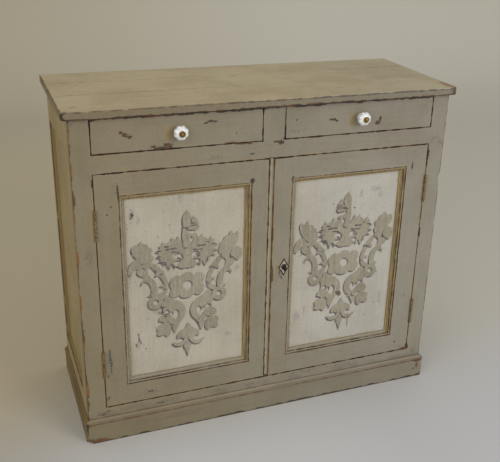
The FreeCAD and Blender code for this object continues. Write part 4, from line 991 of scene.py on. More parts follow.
def nail_heads(tree, place):
    """Rows of round nail heads across the back, at a fixed pitch."""
    x, _, z = axes(tree, place)
    across = calc(tree, "PINGPONG", x, NAIL_PITCH / 2)
    rows = [apart(tree, z, level) for level in NAIL_ROWS_Z]
    nearest = calc(tree, "MINIMUM", calc(tree, "MINIMUM", rows[0], rows[1]), rows[2])
    spread = put(tree, "ShaderNodeCombineXYZ", {"X": across, "Y": nearest}).outputs[0]
    return step(tree, vector_calc(tree, "LENGTH", spread), NAIL_RADIUS + 0.3 * MM, NAIL_RADIUS - 0.3 * MM)


def bare_pine(name, strokes, nailed=False):
    material, tree, shader, place = new_material(name)
    along = vector_calc(tree, "MULTIPLY", place, ALONG_BOARD[strokes])
    rings = put(tree, "ShaderNodeTexWave", {"Vector": along, "Scale": 1.1, "Distortion": 5.0,
                                            "Detail": 2.0, "Detail Scale": 0.8},
                bands_direction="DIAGONAL").outputs["Fac"]
    streak = brush_strokes(tree, place, strokes)["Streak"]
    bend = step(tree, grain(tree, along, 0.6, 3), 0.35, 0.65)
    colour = layer(tree, product(tree, step(tree, rings, 0.55, 1.0), 0.55),
                   layer(tree, bend, *EARLY_WOOD), LATE_WOOD)
    colour = layer(tree, product(tree, step(tree, streak, 0.5, 0.7), 0.25), colour, WOOD_DUST)
    if nailed:
        colour = layer(tree, product(tree, nail_heads(tree, place), 0.9), colour, NAIL)
    wire(tree, shader, colour, step(tree, rings, 0, 1, 0.58, 0.70), streak, relief_mm=0.2)
    return material


pine = {strokes: bare_pine(f"bare pine along {strokes}", strokes) for strokes in "xyz"}
nailed_pine = bare_pine("nailed pine of the back", "z", nailed=True)
print("made", nailed_pine.name, "and pine along", sorted(pine))

# %% Metals and glaze
CHINA = tones((224, 224, 222), (208, 208, 206))


def old_metal(name, bright_and_dull, rough=(0.3, 0.6), metallic=1.0, relief_mm=0.08, patch_scale=160):
    material, tree, shader, place = new_material(name)
    patches = step(tree, grain(tree, place, patch_scale, 4, 0.6), 0.38, 0.62)
    wire(tree, shader, layer(tree, patches, *bright_and_dull), step(tree, patches, 0, 1, *rough),
         patches, relief_mm)
    shader.inputs["Metallic"].default_value = metallic
    return material


def glazed_china():
    material, tree, shader, place = new_material("glazed white china")
    cloud = step(tree, grain(tree, place, 70, 2), 0.35, 0.65)
    wire(tree, shader, layer(tree, cloud, *CHINA), step(tree, cloud, 0, 1, 0.10, 0.16), cloud,
         relief_mm=0.05)
    shader.inputs["Coat Weight"].default_value = 0.6
    shader.inputs["Coat Roughness"].default_value = 0.04
    return material


china = glazed_china()
brass = old_metal("old brass", tones((164, 138, 78), (100, 80, 42)))
bronze = old_metal("dark bronze", tones((96, 80, 54), (44, 36, 26)), rough=(0.4, 0.65), metallic=0.7)
hinge_metal = old_metal("painted and worn iron", tones((120, 104, 72), (84, 68, 42)), rough=(0.5, 0.7),
                        metallic=0.15, relief_mm=0.2)
lock_metal = old_metal("old steel", tones((148, 144, 134), (112, 107, 97)), rough=(0.4, 0.55),
                       relief_mm=0.03, patch_scale=40)
print("made", china.name, brass.name, bronze.name, hinge_metal.name, lock_metal.name)

# %% [markdown]
# The plate of the keyhole was tinned once. What is left of the tin shows as pale specks between
# the keyhole and the rim, which have both gone black. Two distances find the black: one from the
# middle of the plate, and one from its lozenge outline.

# %% Keyhole plate
PLATE_METAL, PLATE_BLACK = tones((196, 188, 166), (126, 114, 92)), paint_card(30, 26, 22)
PLATE_MIDDLE, KEYHOLE_DARK = outline_of("escutcheon")[0], 8.0 * MM
LOZENGE_X, LOZENGE_Z = 16 * MM, 25.5 * MM         # half width and half height of the plate


def keyhole_plate():
    """Tinned once, black now round the keyhole and under the rim."""
    material, tree, shader, place = new_material("old plate of the keyhole")
    offset = vector_calc(tree, "SUBTRACT", place, PLATE_MIDDLE)
    x, _, z = axes(tree, vector_calc(tree, "ABSOLUTE", offset))
    lozenge = calc(tree, "ADD", calc(tree, "DIVIDE", x, LOZENGE_X), calc(tree, "DIVIDE", z, LOZENGE_Z))
    near_hole = vector_calc(tree, "LENGTH", vector_calc(tree, "MULTIPLY", offset, (1, 0, 0.85)))
    frayed = calc(tree, "ADD", near_hole, wandering(tree, place, 300, 6 * MM))
    hole = step(tree, frayed, KEYHOLE_DARK + 1 * MM, KEYHOLE_DARK - 1 * MM)
    under_rim = step(tree, lozenge, 0.74, 0.84)
    smear = one_mark(tree, place, PLATE_MIDDLE + Vector((5, 0, -8)) * MM, (5, FAR / MM, 8),
                     wandering(tree, place, 200, 1.6))
    black = most(tree, hole, under_rim, smear)
    patches = step(tree, grain(tree, place, 260, 3, 0.6), 0.40, 0.60)
    colour = layer(tree, black, layer(tree, patches, *PLATE_METAL), PLATE_BLACK)
    wire(tree, shader, colour, step(tree, black, 0, 1, 0.45, 0.7), patches, relief_mm=0.1)
    shader.inputs["Metallic"].default_value = 0.3
    return material


plate_metal = keyhole_plate()
print("made", plate_metal.name)

# %% [markdown]
# ## Which piece gets which finish
#
# A node's name says what it is, so a list of name endings picks its finish. The first match wins.

# %% Give out the finishes
FINISHES = (
    (("_drawer_front", "middle_rail", "bottom_rail", "_door_rails"), level_paint),
    (("drawer_muntin", "front_stile_left", "front_stile_right", "_hinge_stile", "_meeting_stile"),
     upright_paint),
    (("_door_panel",), panel_paint),
    (("_door_moulding",), strip_paint),
    (("top_plank_front", "top_plank_middle", "top_plank_back"), top_paint),
    (("_front_stile", "_back_stile", "side_left_panel", "side_right_panel"), side_upright_paint),
    (("side_left_rails", "side_right_rails"), side_level_paint),
    (("plinth_front",), plinth_paint),
    (("plinth_left", "plinth_right"), plinth_side_paint),
    (("left_knob", "right_knob"), china),
    (("_knob_bolt", "door_bolt", "door_bolt_plate", "bolt_keep"), brass),
    (("hinge_leaves", "hinge_pins"), hinge_metal),
    (("escutcheon",), plate_metal),
    (("lock_case", "lock_bolt", "lock_keep"), lock_metal),
    (("back_boards",), nailed_pine),
    (("_drawer_sides", "board_bearers", "drawer_runners", "drawer_guides", "top_bearers"), pine["y"]),
    (("_drawer_back", "_drawer_bottom", "floor_board", "shelf", "top_rail"), pine["x"]),
)


def finish_of(name):
    return next(material for endings, material in FINISHES if name.endswith(endings))


def dress(piece, material):
    piece.data.materials.clear()
    piece.data.materials.append(material)


for name, piece in joinery.items():
    dress(piece, finish_of(name))
print("finishes given to", len(joinery), "pieces")

# %% [markdown]
# ## The ornament
#
# Each panel has a cartouche of acanthus leaves, cut out and stencilled in taupe: a rosette, a crown
# of leaves over it, two scrolls at each side, and a drop below. It is a motif that furniture
# painters have used for centuries. It could be painted into the panel's texture, but an outline
# this intricate stays crisp and easy to edit when it is drawn as flat shapes with Blender's curves.
#
# An outline is a list of points (x, z) in millimetres from the middle of the ornament, for its
# right half; `-1` mirrors it to the left. A third number marks a sharp tip, and all other points
# are rounded. Only the tips, hollows and turns are given, because the curve rounds the rest.

# %% Outlines of the leaves
PALM_ROUND = ((137, 118), (145, 130), (148, 143), (145, 152), (137, 155), (130, 152), (127, 161),
              (122, 165, 1), (115, 156), (108, 154), (102, 143), (96, 141), (93, 131), (96, 124),
              (91, 116), (93, 106), (99, 99), (110, 96), (124, 102))
PALM_POINTED = ((92, 100), (87, 110), (88, 118), (92, 130), (95, 137), (101, 141), (104, 149),
                (110, 152), (114, 150), (118, 160), (122, 166, 1), (127, 156), (132, 151), (136, 158),
                (141, 161, 1), (144, 152), (142, 138), (137, 124), (128, 112), (120, 104), (108, 98))
EGG_LEAF = ((124, 104), (131, 113), (139, 116), (148, 110), (153, 100), (152, 88), (147, 78), (142, 75),
            (136, 79), (130, 85), (124, 90), (121, 96))
EGG_NARROW = ((126, 106), (136, 114), (147, 110), (154, 100), (158, 88), (159, 77), (154, 71), (148, 73),
              (143, 80), (138, 86), (131, 88), (125, 95))
CALYX = ((97, 99), (112, 99), (124, 95), (133, 87), (136, 78), (132, 69), (124, 64), (117, 60), (112, 50),
         (104, 54), (106, 66), (108, 78), (103, 86), (96, 91))
CALYX_EYE = (119, 84, 4.5)               # middle and radius
NECK = ((101, 45), (112, 47), (119, 54), (121, 64), (112, 70), (104, 64))
INNER_SCROLL = ((101, 97, 2), (93, 91, 6), (84, 81, 7.5), (76, 70, 8), (69, 58, 6.5), (63, 46, 6),
                (59, 33, 5.5), (59, 18, 5.5), (64, 7, 6), (73, 1, 7), (84, -1, 6))
OUTER_SCROLL = ((125, 38, 0.5), (121, 46, 3), (113, 51, 5), (104, 49, 7), (96, 41, 8), (92, 28, 8),
                (91, 12, 8), (94, 0, 6))
BARBS = (((84, 84), (70, 75), (61, 67, 1), (69, 64), (80, 68)),
         ((72, 68), (80, 60), (90, 57, 1), (86, 66), (80, 74)),
         ((86, 10), (99, 10), (110, 4, 1), (100, -1), (90, -4)),
         ((56, 20), (62, 30), (70, 33), (79, 26, 1), (70, 25), (62, 18)))
RING, RING_HOLE = (89, -19, 20.5), (88, -18, 8)
print("the round palm has", len(PALM_ROUND), "points")

# %% [markdown]
# The rosette is the heart of the ornament, and the crown rises over it like an open palm. `DABS`
# are the short dark strokes that part the leaflets of the crown, each written like a scroll: a few
# points (x, z) of its middle line, with half its width at each.

# %% Rosette and crown
ROSETTE = ((-1, 58), (11, 55), (16, 48, 1), (26, 54), (38, 52), (46, 44), (46, 31), (41, 20, 1), (47, 11),
           (46, 0), (38, -10), (27, -13), (19, -8, 1), (10, -15), (-6, -18), (-18, -14), (-23, -7, 1),
           (-34, -12), (-46, -9), (-49, 2), (-44, 14, 1), (-49, 26), (-47, 41), (-38, 50), (-27, 52),
           (-20, 46, 1), (-13, 55))
ROSETTE_EYE = (0.5, 20.5, 13.5)
CROWN = ((0, 137), (8, 137), (14, 146), (20, 156), (25, 168, 1), (30, 158), (36, 159), (41, 166, 1),
         (44, 156), (50, 153), (60, 148), (66, 157, 1), (67, 148), (76, 145, 1), (74, 138), (86, 129, 1),
         (76, 124), (77, 118), (85, 113, 1), (75, 109), (72, 104), (80, 97, 1), (69, 99), (60, 95),
         (65, 85, 1), (56, 90), (54, 82), (50, 71, 1), (45, 79), (42, 86), (35, 74, 1), (30, 80), (24, 77),
         (18, 73), (8, 72), (0, 73))
CROWN_GAPS = (((12, 100), (12, 108), (16, 116), (24, 118), (33, 113), (36, 105), (30, 100), (22, 103)),
              ((26, 83), (21, 90), (16, 94), (24, 96), (33, 95), (36, 89), (33, 83)))
DABS = (
    ((-58, 131, 1), (-46, 132, 2.4), (-28, 132, 1)), ((-63, 141, 1), (-57, 140, 1.8), (-50, 140, 1)),
    ((-43, 122, 1), (-32, 122, 1.8), (-20, 117, 1)), ((-28, 104, 1), (-22, 101, 2), (-16, 98, 1)),
    ((27, 133, 1), (38, 132, 1.8), (50, 132, 1)), ((15, 123, 1), (30, 121, 1.6), (45, 121, 1)),
    ((24, 110, 1), (28, 105, 1.8), (32, 100, 1)), ((52, 140, 1), (56, 140, 1.6), (60, 138, 1)),
    ((-82, 130, 1), (-77, 130, 2), (-71, 131, 1)), ((-82, 113, 1), (-77, 113, 2), (-71, 114, 1)),
    ((-77, 98, 1), (-70, 93, 2.6), (-65, 87, 1)), ((-61, 97, 1), (-58, 86, 2.4), (-51, 74, 1)),
    ((-45, 89, 1), (-39, 82, 2.4), (-34, 77, 1)), ((66, 132, 1), (73, 132, 1.8), (80, 129, 1)),
    ((70, 113, 1), (75, 111, 1.8), (81, 111, 1)), ((66, 101, 1), (71, 99, 1.8), (76, 98, 1)),
    ((57, 96, 1), (55, 90, 1.6), (52, 80, 1)), ((28, 80, 1), (32, 78, 1.4), (36, 77, 1)),
)
print("half of the crown has", len(CROWN), "points, and", len(DABS), "strokes part its leaflets")

# %% [markdown]
# A bud on a curled stem tops the crown. Below the rosette, two leafy scrolls hold a flower each,
# and a drop with hooks and a spike hangs in the middle.

# %% Bud, lower scrolls and drop
BUD = ((-7, 190), (-11, 202), (-11, 215), (-7, 227), (0, 238, 1), (7, 227), (11, 214), (9, 202), (4, 192))
BUD_LEAF = ((13, 203), (15, 212), (19, 220, 1), (23, 213), (29, 207, 1), (27, 202), (20, 200))
BUD_CUP = ((-2, 202), (10, 202), (28, 203), (31, 198), (28, 194), (14, 194), (4, 190), (-4, 192))
BUD_BOWL = ((-3, 196), (10, 193), (30, 194), (33, 188), (29, 180), (16, 180), (6, 182), (0, 188))
BUD_CURL = ((1, 168), (8, 171), (14, 167), (21, 170), (23, 161), (16, 157), (12, 162), (5, 158))
BUD_STEM = ((-9, 195), (-12, 180), (-13, 165), (-11, 150), (-8, 133), (6, 134), (6, 146), (4, 156),
            (5, 168), (1, 178), (1, 194))
SCROLL_LEAF = ((60, -1), (46, -14), (30, -22), (20, -28), (11, -40), (7, -55), (8, -68), (13, -80),
               (22, -90), (28, -101), (34, -113), (37, -121, 1), (42, -110), (45, -98), (42, -86),
               (33, -78), (26, -70), (24, -60), (27, -52), (32, -48), (37, -52), (40, -62, 1),
               (45, -52), (50, -60, 1), (54, -46), (60, -46), (69, -56, 1), (69, -40), (72, -30),
               (66, -18), (64, -8))
LOWER_LEAF = ((34, -88), (42, -74), (50, -63), (60, -57), (72, -60), (79, -67), (81, -78, 1), (72, -80),
              (64, -86), (54, -83), (48, -90), (40, -94))
FLOWER = ((54, -92), (61, -87), (72, -87), (84, -92), (87, -101), (84, -109), (87, -118), (78, -123),
          (68, -121), (59, -128), (51, -122), (49, -108))
SIDE_LEAF = ((36, -84), (44, -92), (47, -104), (42, -114), (37, -124, 1), (33, -112), (30, -100))
DROP = ((0, -95, 1), (6, -106), (15, -115), (25, -121), (31, -130), (30, -140), (22, -138), (10, -146),
        (0, -146))
DROP_HOOK = ((6, -134), (12, -147), (20, -154), (32, -155), (46, -150, 1), (39, -161), (26, -166),
             (12, -161), (4, -150), (1, -138))
SPIKE = ((0, -139), (7, -150), (9, -162), (4, -178), (-1, -202, 1), (-7, -182), (-13, -165), (-6, -158),
         (-4, -146))
print("the leafy scroll has", len(SCROLL_LEAF), "points")

# %% [markdown]
# ## Making pieces
#
# New pieces are built as a bmesh, Blender's mesh for editing, and only the finished one becomes an
# object. `new_piece` also gives it its material and the body of the joinery that it moves with, so
# that the ornament opens with its door. `pour` gathers many small bmeshes into one.

# %% Mesh helpers
def verts_in(items):
    return [item for item in items if isinstance(item, bmesh.types.BMVert)]


def mesh_data(name, mesh):
    """Turn a finished bmesh into mesh data."""
    data = bpy.data.meshes.new(name)
    mesh.to_mesh(data)
    mesh.free()
    return data


def pour(part, whole):
    """Add one bmesh to another; the first is used up."""
    data = mesh_data("part", part)
    whole.from_mesh(data)
    bpy.data.meshes.remove(data)


def add_object(name, data):
    """Put a mesh, curve, light or camera into the scene."""
    made = bpy.data.objects.new(name, data)
    scene.collection.objects.link(made)
    return made


def new_piece(name, mesh, material, body):
    """Make an object of a finished bmesh; it moves with a body of the joinery."""
    piece = add_object(name, mesh_data(name, mesh))
    dress(piece, material)
    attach(piece, body)


print("ready for pieces in", scene.name)

# %% [markdown]
# `band` turns a scroll's middle line, with half its width at each point, into an outline.
# `flat_mesh` fills an outline with a flat curve and hands it on as a mesh. Leaves overlap, so each
# kind sits on a level of its own, a hair above the last, with a dark twin moved down and to the
# left just under it: the painter shaded every leaf on that side.

# %% From outline to leaf
SHADE_MOVE = Vector((-3.6, -3.8)) * MM
FIRST_LEVEL, LEVEL, SHADE_UNDER = 0.10 * MM, 0.04 * MM, 0.02 * MM


def band(path):
    """Outline of a ribbon along a path of (x, z, half width)."""
    one_side, other_side = [], []
    for index, (x, z, half) in enumerate(path):
        before, after = path[max(index - 1, 0)], path[min(index + 1, len(path) - 1)]
        along = Vector((after[0] - before[0], after[1] - before[1])).normalized()
        one_side.append((x - along.y * half, z + along.x * half))
        other_side.append((x + along.y * half, z - along.x * half))
    return one_side + other_side[::-1]


def circle(x, z, radius, points=8):
    return [(x + radius * cos(2 * pi * index / points), z + radius * sin(2 * pi * index / points))
            for index in range(points)]


def flat_mesh(outlines, flip):
    """A filled flat curve as a mesh in its own plane; outlines after the first are holes."""
    curve = bpy.data.curves.new("leaf", "CURVE")
    curve.dimensions, curve.fill_mode, curve.resolution_u = "2D", "BOTH", 4
    for points in outlines:
        spline = curve.splines.new("BEZIER")
        spline.bezier_points.add(len(points) - 1)
        spline.use_cyclic_u = True
        for knot, (x, z, *tip) in zip(spline.bezier_points, points):
            knot.co = (flip * x * MM, z * MM, 0)
            knot.handle_left_type = knot.handle_right_type = "VECTOR" if tip else "AUTO"
    holder = add_object("leaf", curve)
    flat = bpy.data.meshes.new_from_object(holder.evaluated_get(bpy.context.evaluated_depsgraph_get()))
    bpy.data.objects.remove(holder)
    bpy.data.curves.remove(curve)
    return flat


def add_leaf(mesh, flat, place, proud):
    """Stand a flat mesh on the panel at a place, this proud of it."""
    fresh = bmesh.new()
    fresh.from_mesh(flat)
    bmesh.ops.remove_doubles(fresh, verts=fresh.verts, dist=0.01 * MM)
    bmesh.ops.dissolve_limit(fresh, angle_limit=radians(1), verts=fresh.verts, edges=fresh.edges)
    grown = bmesh.ops.extrude_face_region(fresh, geom=fresh.faces[:])["geom"]
    bmesh.ops.translate(fresh, verts=verts_in(grown), vec=(0, 0, proud))
    bmesh.ops.recalc_face_normals(fresh, faces=fresh.faces)
    upright = Matrix.Translation((place.x, PANEL_FACE, place.y)) @ Matrix.Rotation(pi / 2, 4, "X")
    bmesh.ops.transform(fresh, matrix=upright, verts=fresh.verts)
    pour(fresh, mesh)


print("levels of", round(LEVEL / MM, 2), "mm")

# %% [markdown]
# The taupe is brushed up and down and rubbed through in thin scratches, where the cream shows
# again. The shading is blue-grey, and breaks up where the brush ran dry.

# %% Ornament paint
CREAM = paint_card(170, 164, 149)
TAUPE, BLUE_GREY = tones((154, 146, 128), (122, 113, 93)), tones((74, 71, 72), (98, 92, 86))


def ornament_paint():
    material, tree, shader, place = new_material("taupe of the ornament")
    tone = brush_tone(tree, brush_strokes(tree, place, "z"), (0.28, 0.18), (0.42, 0.12), (0.30, 0.15))
    colour = layer(tree, tone, *TAUPE)
    scratch = step(tree, stretched(tree, place, (330, 330, 30), 3, 0.7), 0.56, 0.66)
    colour = layer(tree, product(tree, scratch, 0.6), colour, CREAM)
    wire(tree, shader, panel_wear(tree, place, colour), 0.62, tone, relief_mm=0.1)
    return material


def shading_paint():
    material, tree, shader, place = new_material("shading of the ornament")
    dry = step(tree, grain(tree, place, 120, 3, 0.7), 0.52, 0.68)
    slow = step(tree, grain(tree, place, 22, 2), 0.35, 0.65)
    colour = layer(tree, product(tree, dry, 0.7), layer(tree, slow, *BLUE_GREY), CREAM)
    wire(tree, shader, panel_wear(tree, place, colour), 0.62, dry, relief_mm=0.05)
    return material


taupe, shading = ornament_paint(), shading_paint()
print("made", taupe.name, "and", shading.name)

# %% [markdown]
# Now the leaves are laid on, lowest first. The two doors were painted by hand, so they aren't the
# same: the pointed palm is on the right of the left door and on the left of the right door, and
# the bud on the crown leans the other way.

# %% Lay the ornament on both doors
ORNAMENT_AT = {"left": Vector((-0.2335, 0.418)), "right": Vector((0.2335, 0.4165))}
BUD_LEAN = {"left": 1, "right": -1}
POINTED_SIDE = {"left": 1, "right": -1}


def both_halves(points):
    """A right half and its mirror image as one outline."""
    return list(points) + [(-point[0], *point[1:]) for point in points[::-1] if point[0]]


def leaves_of(door):
    """(outlines, flips) of each kind of leaf on a door, from the lowest to the topmost."""
    lean, pointed, pair = BUD_LEAN[door], POINTED_SIDE[door], (-1, 1)
    crown = [both_halves(CROWN)] + [[(flip * x, z) for x, z in gap] for gap in CROWN_GAPS for flip in pair]
    kinds = [([ROSETTE, circle(*ROSETTE_EYE)], (1,)), ([band(INNER_SCROLL)], pair)]
    kinds += [([barb], pair) for barb in BARBS]
    kinds += [([PALM_POINTED], (pointed,)), ([PALM_ROUND], (-pointed,)),
              ([CALYX, circle(*CALYX_EYE)], pair), ([band(OUTER_SCROLL)], pair), ([NECK], pair),
              ([EGG_NARROW], (-1,)), ([EGG_LEAF], (1,)), ([circle(*RING), circle(*RING_HOLE)], pair),
              ([SCROLL_LEAF], pair), ([LOWER_LEAF], pair), ([SIDE_LEAF], (-1 if door == "right" else 1,)),
              ([FLOWER], pair), (crown, (1,)), ([BUD_STEM], (lean,)), ([BUD_CURL], (lean,)),
              ([BUD_BOWL], (lean,)), ([BUD_CUP], (lean,)), ([BUD_LEAF], (lean,)), ([BUD], (lean,)),
              ([SPIKE], (1,)), ([both_halves(DROP)], (1,)), ([DROP_HOOK], pair)]
    return kinds


def lay_ornament(door):
    leaves, shades = bmesh.new(), bmesh.new()
    kinds = leaves_of(door)
    for level, (outlines, flips) in enumerate(kinds):
        proud = FIRST_LEVEL + level * LEVEL
        for flip in flips:
            flat = flat_mesh(outlines, flip)
            add_leaf(leaves, flat, ORNAMENT_AT[door], proud)
            if outlines != [NECK]:                  # the neck only joins two leaves
                add_leaf(shades, flat, ORNAMENT_AT[door] + SHADE_MOVE, proud - SHADE_UNDER)
            bpy.data.meshes.remove(flat)
    for dab in DABS:
        flat = flat_mesh([band(dab)], 1)
        add_leaf(shades, flat, ORNAMENT_AT[door], FIRST_LEVEL + len(kinds) * LEVEL)
        bpy.data.meshes.remove(flat)
    new_piece(f"{door}_door_ornament", leaves, taupe, f"{door}_door")
    new_piece(f"{door}_door_ornament_shading", shades, shading, f"{door}_door")


for door in ("left", "right"):
    lay_ornament(door)
    print(door, "ornament:", len(leaves_of(door)), "kinds of leaf")

# %% [markdown]
# ## Rim of the keyhole plate
#
# The plate is a pressed lozenge. Its rim is a row of small curls, here half-sunk beads, larger at
# the four corners. They are dark bronze, bright in patches.

# %% Keyhole plate rim
BEADS_PER_SIDE, BEAD_RADIUS, CORNER_BEAD_RADIUS = 6, 1.7 * MM, 2.3 * MM


def keyhole_rim():
    low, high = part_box("escutcheon")
    middle, half = (low + high) / 2, (high - low) / 2
    reach = BEAD_RADIUS
    corners = [Vector((half.x - reach, 0)), Vector((0, half.z - reach)),
               Vector((reach - half.x, 0)), Vector((0, reach - half.z))]
    mesh = bmesh.new()
    for index, corner in enumerate(corners):
        following = corners[(index + 1) % 4]
        for count in range(BEADS_PER_SIDE):
            at = corner.lerp(following, count / BEADS_PER_SIDE)
            radius = BEAD_RADIUS if count else CORNER_BEAD_RADIUS
            place = Matrix.Translation((middle.x + at.x, low.y + 0.3 * MM, middle.z + at.y))
            bmesh.ops.create_uvsphere(mesh, u_segments=12, v_segments=8, radius=radius,
                                      matrix=place @ Matrix.Scale(0.6, 4, (0, 1, 0)))
    for face in mesh.faces:
        face.smooth = True
    new_piece("escutcheon_rim", mesh, bronze, "right_door")
    return 4 * BEADS_PER_SIDE


print("rim of", keyhole_rim(), "beads")

# %% [markdown]
# ## Screws
#
# Hinges, lock, keep and bolt are screwed on with slotted countersunk screws, which sit flush. Only
# the head shows, so a screw is a thin disc with two half-round plates on it, and the slot between
# them. `screws` puts one at each place, facing along an axis, and turns each a little further, so
# that the slots don't line up.

# %% Screw heads
HEAD_RADIUS, HEAD_PROUD, SLOT_HALF = 2.8 * MM, 0.25 * MM, 0.4 * MM


def half_head(mesh, side):
    """Half of a screw's head, beside its slot."""
    made = bmesh.ops.create_circle(mesh, cap_ends=True, segments=24, radius=HEAD_RADIUS)["verts"]
    faces = list({face for vert in made for face in vert.link_faces})
    edges = list({edge for vert in made for edge in vert.link_edges})
    kept = bmesh.ops.bisect_plane(mesh, geom=made + edges + faces, plane_co=(side * SLOT_HALF, 0, 0),
                                  plane_no=(side, 0, 0), clear_inner=True)["geom"]
    flat = [item for item in kept if isinstance(item, bmesh.types.BMFace) and item.is_valid]
    raised = bmesh.ops.extrude_face_region(mesh, geom=flat)["geom"]
    bmesh.ops.translate(mesh, verts=verts_in(raised), vec=(0, 0, HEAD_PROUD))


def screw_mesh(turn):
    mesh = bmesh.new()
    for side in (-1, 1):
        half_head(mesh, side)
    bmesh.ops.create_cone(mesh, cap_ends=True, segments=24, radius1=HEAD_RADIUS, radius2=HEAD_RADIUS,
                          depth=HEAD_PROUD / 2, matrix=Matrix.Translation((0, 0, HEAD_PROUD / 5)))
    bmesh.ops.rotate(mesh, verts=mesh.verts, matrix=Matrix.Rotation(turn, 3, "Z"))
    bmesh.ops.recalc_face_normals(mesh, faces=mesh.faces)
    return mesh


def screws(name, places, facing, body):
    """Screw heads at these places in millimetres, all facing the same way."""
    towards = Vector(facing).to_track_quat("Z", "Y").to_matrix().to_4x4()
    whole = bmesh.new()
    for index, place in enumerate(places):
        head = screw_mesh(index * 0.9)
        bmesh.ops.transform(head, verts=head.verts, matrix=Matrix.Translation(Vector(place)) @ towards)
        pour(head, whole)
    new_piece(name, whole, lock_metal, body)


print("screws are", round(2 * HEAD_RADIUS / MM, 1), "mm across")

# %% [markdown]
# Screws sit where the fitting lets them: three in each hinge leaf, in a zigzag so that they don't
# split the wood, and one near each corner of lock, keep and bolt plate. Their places are worked
# out from the fittings, so they stay put if a fitting changes size.

# %% Screw the fittings on
def corners_of(name, inset_mm):
    """The four corners of the back face of a plate, drawn in from its edges."""
    low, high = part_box(name)
    inset = inset_mm * MM
    return [(x, high.y, z) for x in (low.x + inset, high.x - inset)
            for z in (low.z + inset, high.z - inset)]


def hinge_places(x):
    """Three screws in each of the two hinges on a stile's edge."""
    return [(x, FRONT + (9 + 5 * (count % 2)) * MM, level + (count - 1) * 27 * MM)
            for level in HINGE_LEVELS for count in range(3)]


opening = -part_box("front_stile_left")[1].x
door_edge = -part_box("left_door_hinge_stile")[0].x
screws("frame_hinge_screws_left", hinge_places(-opening), (1, 0, 0), "carcass")
screws("frame_hinge_screws_right", hinge_places(opening), (-1, 0, 0), "carcass")
screws("left_door_hinge_screws", hinge_places(-door_edge), (-1, 0, 0), "left_door")
screws("right_door_hinge_screws", hinge_places(door_edge), (1, 0, 0), "right_door")
screws("lock_screws", corners_of("lock_case", 6), (0, 1, 0), "right_door")
screws("lock_keep_screws", corners_of("lock_keep", 4), (0, 1, 0), "left_door")
plate_low, plate_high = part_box("door_bolt_plate")
plate_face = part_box("left_door_hinge_stile")[1].y + 2 * MM
screws("bolt_plate_screws", [(x, plate_face, z) for x in (plate_low.x + 2.9 * MM, plate_high.x - 2.9 * MM)
                             for z in (plate_low.z + 5 * MM, plate_high.z - 5 * MM)],
       (0, 1, 0), "left_door")
print(2 * len(hinge_places(opening)), "screws in the frame and as many in the doors' hinge stiles")

# %% [markdown]
# ## The studio
#
# A sheet of pale paper runs along the floor and curves up behind the cupboard, so that there is no
# horizon. Its colour paints light and shade: darker and warmer on the left, neutral and brighter on
# the right and in front, with a painted shadow of the cupboard, warmed by its reflection, beside its
# left side. The key light is large and comes from the upper right, a weaker fill comes from the left,
# and the world gives the rest.

# %% Backdrop
# The paper's colours paint light and shade: darker and warmer to the left, brighter to the right.
WALL = tones((176, 168, 147), (194, 190, 177))
FLOOR_BEHIND = tones((179, 169, 144), (183, 179, 167))
FLOOR_SHADOW_BESIDE = paint_card(177, 165, 138)
FLOOR_IN_FRONT = tones((158, 155, 150), (190, 190, 189))
FLOOR_FRONT_RIGHT = paint_card(183, 182, 181)


def backdrop():
    bend_radius, front, back, side, height, bends = 1.2, -6.0, 3.2, 7.0, 4.5, 12
    mesh = bmesh.new()
    corners = [mesh.verts.new((-side, front, 0)), mesh.verts.new((-side, back, 0))]
    for count in range(1, bends + 1):
        angle = pi / 2 * count / bends
        corners.append(mesh.verts.new((-side, back + bend_radius * sin(angle),
                                       bend_radius * (1 - cos(angle)))))
    corners.append(mesh.verts.new((-side, back + bend_radius, height)))
    edges = [mesh.edges.new(pair) for pair in zip(corners, corners[1:])]
    swept = bmesh.ops.extrude_edge_only(mesh, edges=edges)["geom"]
    bmesh.ops.translate(mesh, verts=verts_in(swept), vec=(2 * side, 0, 0))
    bmesh.ops.recalc_face_normals(mesh, faces=mesh.faces)
    for face in mesh.faces:
        face.smooth = True
    paper = add_object("backdrop", mesh_data("backdrop", mesh))
    return paper


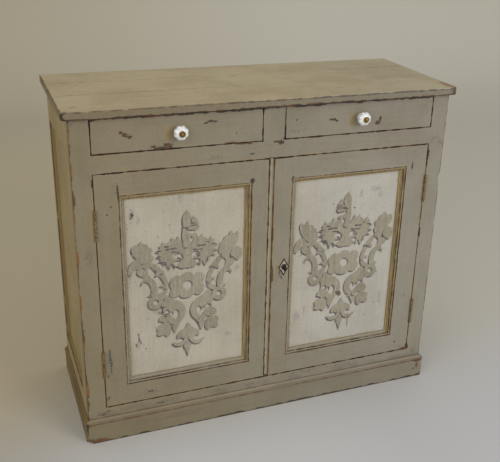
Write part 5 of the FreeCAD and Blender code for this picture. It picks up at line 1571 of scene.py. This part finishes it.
def backdrop_paper():
    """Painted light and shade: darker and warm at the left and behind, neutral in front, with a painted
    shadow beside the cupboard.
    """
    material, tree, shader, place = new_material("backdrop paper")
    x, y, _ = axes(tree, place)
    wall = layer(tree, step(tree, x, -1.0, 2.4), *WALL)
    behind = layer(tree, step(tree, x, -0.4, 0.8), *FLOOR_BEHIND)
    # painted shadow of the cupboard beside its left side, warmed by its reflection
    beside = product(tree, step(tree, x, -0.2, -0.75), step(tree, y, 1.3, 0.1))
    behind = layer(tree, beside, behind, FLOOR_SHADOW_BESIDE)
    front = layer(tree, step(tree, x, -0.95, -0.25), *FLOOR_IN_FRONT)
    front = layer(tree, step(tree, x, 0.0, 0.4), front, FLOOR_FRONT_RIGHT)
    colour = layer(tree, step(tree, y, 2.2, 3.4), behind, wall)
    wire(tree, shader, layer(tree, step(tree, y, 0.25, -0.42), colour, front), 0.9)
    shader.inputs["Specular IOR Level"].default_value = 0.1
    return material


dress(backdrop(), backdrop_paper())
print("the paper bends up behind the cupboard")

# %% [markdown]
# The camera stands to the left of the cupboard and looks down on it, so the top and the left side
# show. Its lens isn't aimed at the middle of the picture, which the shift of the lens takes up.

# %% Light and camera
def soft_light(name, place, target, size, power):
    lamp = bpy.data.lights.new(name, "AREA")
    lamp.shape, lamp.size, lamp.energy = "SQUARE", size, power
    holder = add_object(name, lamp)
    holder.location = place
    holder.rotation_euler = (Vector(target) - Vector(place)).to_track_quat("-Z", "Y").to_euler()


MIDDLE = Vector((0, 0, 0.5))
soft_light("key", (2.6, -5.0, 2.8), MIDDLE, 2.6, 135)
soft_light("fill", (-2.8, -2.4, 1.8), MIDDLE, 2.4, 34)
world = bpy.data.worlds.new("studio")
world.use_nodes = True
sky = world.node_tree.nodes["Background"].inputs
sky["Color"].default_value, sky["Strength"].default_value = (1, 1, 1, 1), 0.72
scene.world = world
scene.view_settings.view_transform = "Standard"

EYE = Vector((-0.737, -1.996, 1.414))
HEADING, DOWN, ROLL = radians(22.47), radians(22.74), radians(1.98)
LENS, SENSOR = 56.43, 36.0
IMAGE = (500, 462)
AIM_PIXEL = (275.9, 222.8)      # where the lens points, from the image's upper left corner
camera_data = bpy.data.cameras.new("camera")
camera_data.lens, camera_data.sensor_width = LENS, SENSOR
camera_data.shift_x = (IMAGE[0] / 2 - AIM_PIXEL[0]) / IMAGE[0]
camera_data.shift_y = (AIM_PIXEL[1] - IMAGE[1] / 2) / IMAGE[0]
camera = add_object("camera", camera_data)
camera.matrix_world = (Matrix.Translation(EYE) @ Matrix.Rotation(-HEADING, 4, "Z")
                       @ Matrix.Rotation(pi / 2 - DOWN, 4, "X") @ Matrix.Rotation(ROLL, 4, "Z"))
scene.camera = camera
print("the camera stands", round(EYE.length, 2), "m from the cupboard's foot")

# %% [markdown]
# ## Finish
#
# The looks must not make the cupboard bigger than its joinery.

# %% Finish
print("the scene is set")
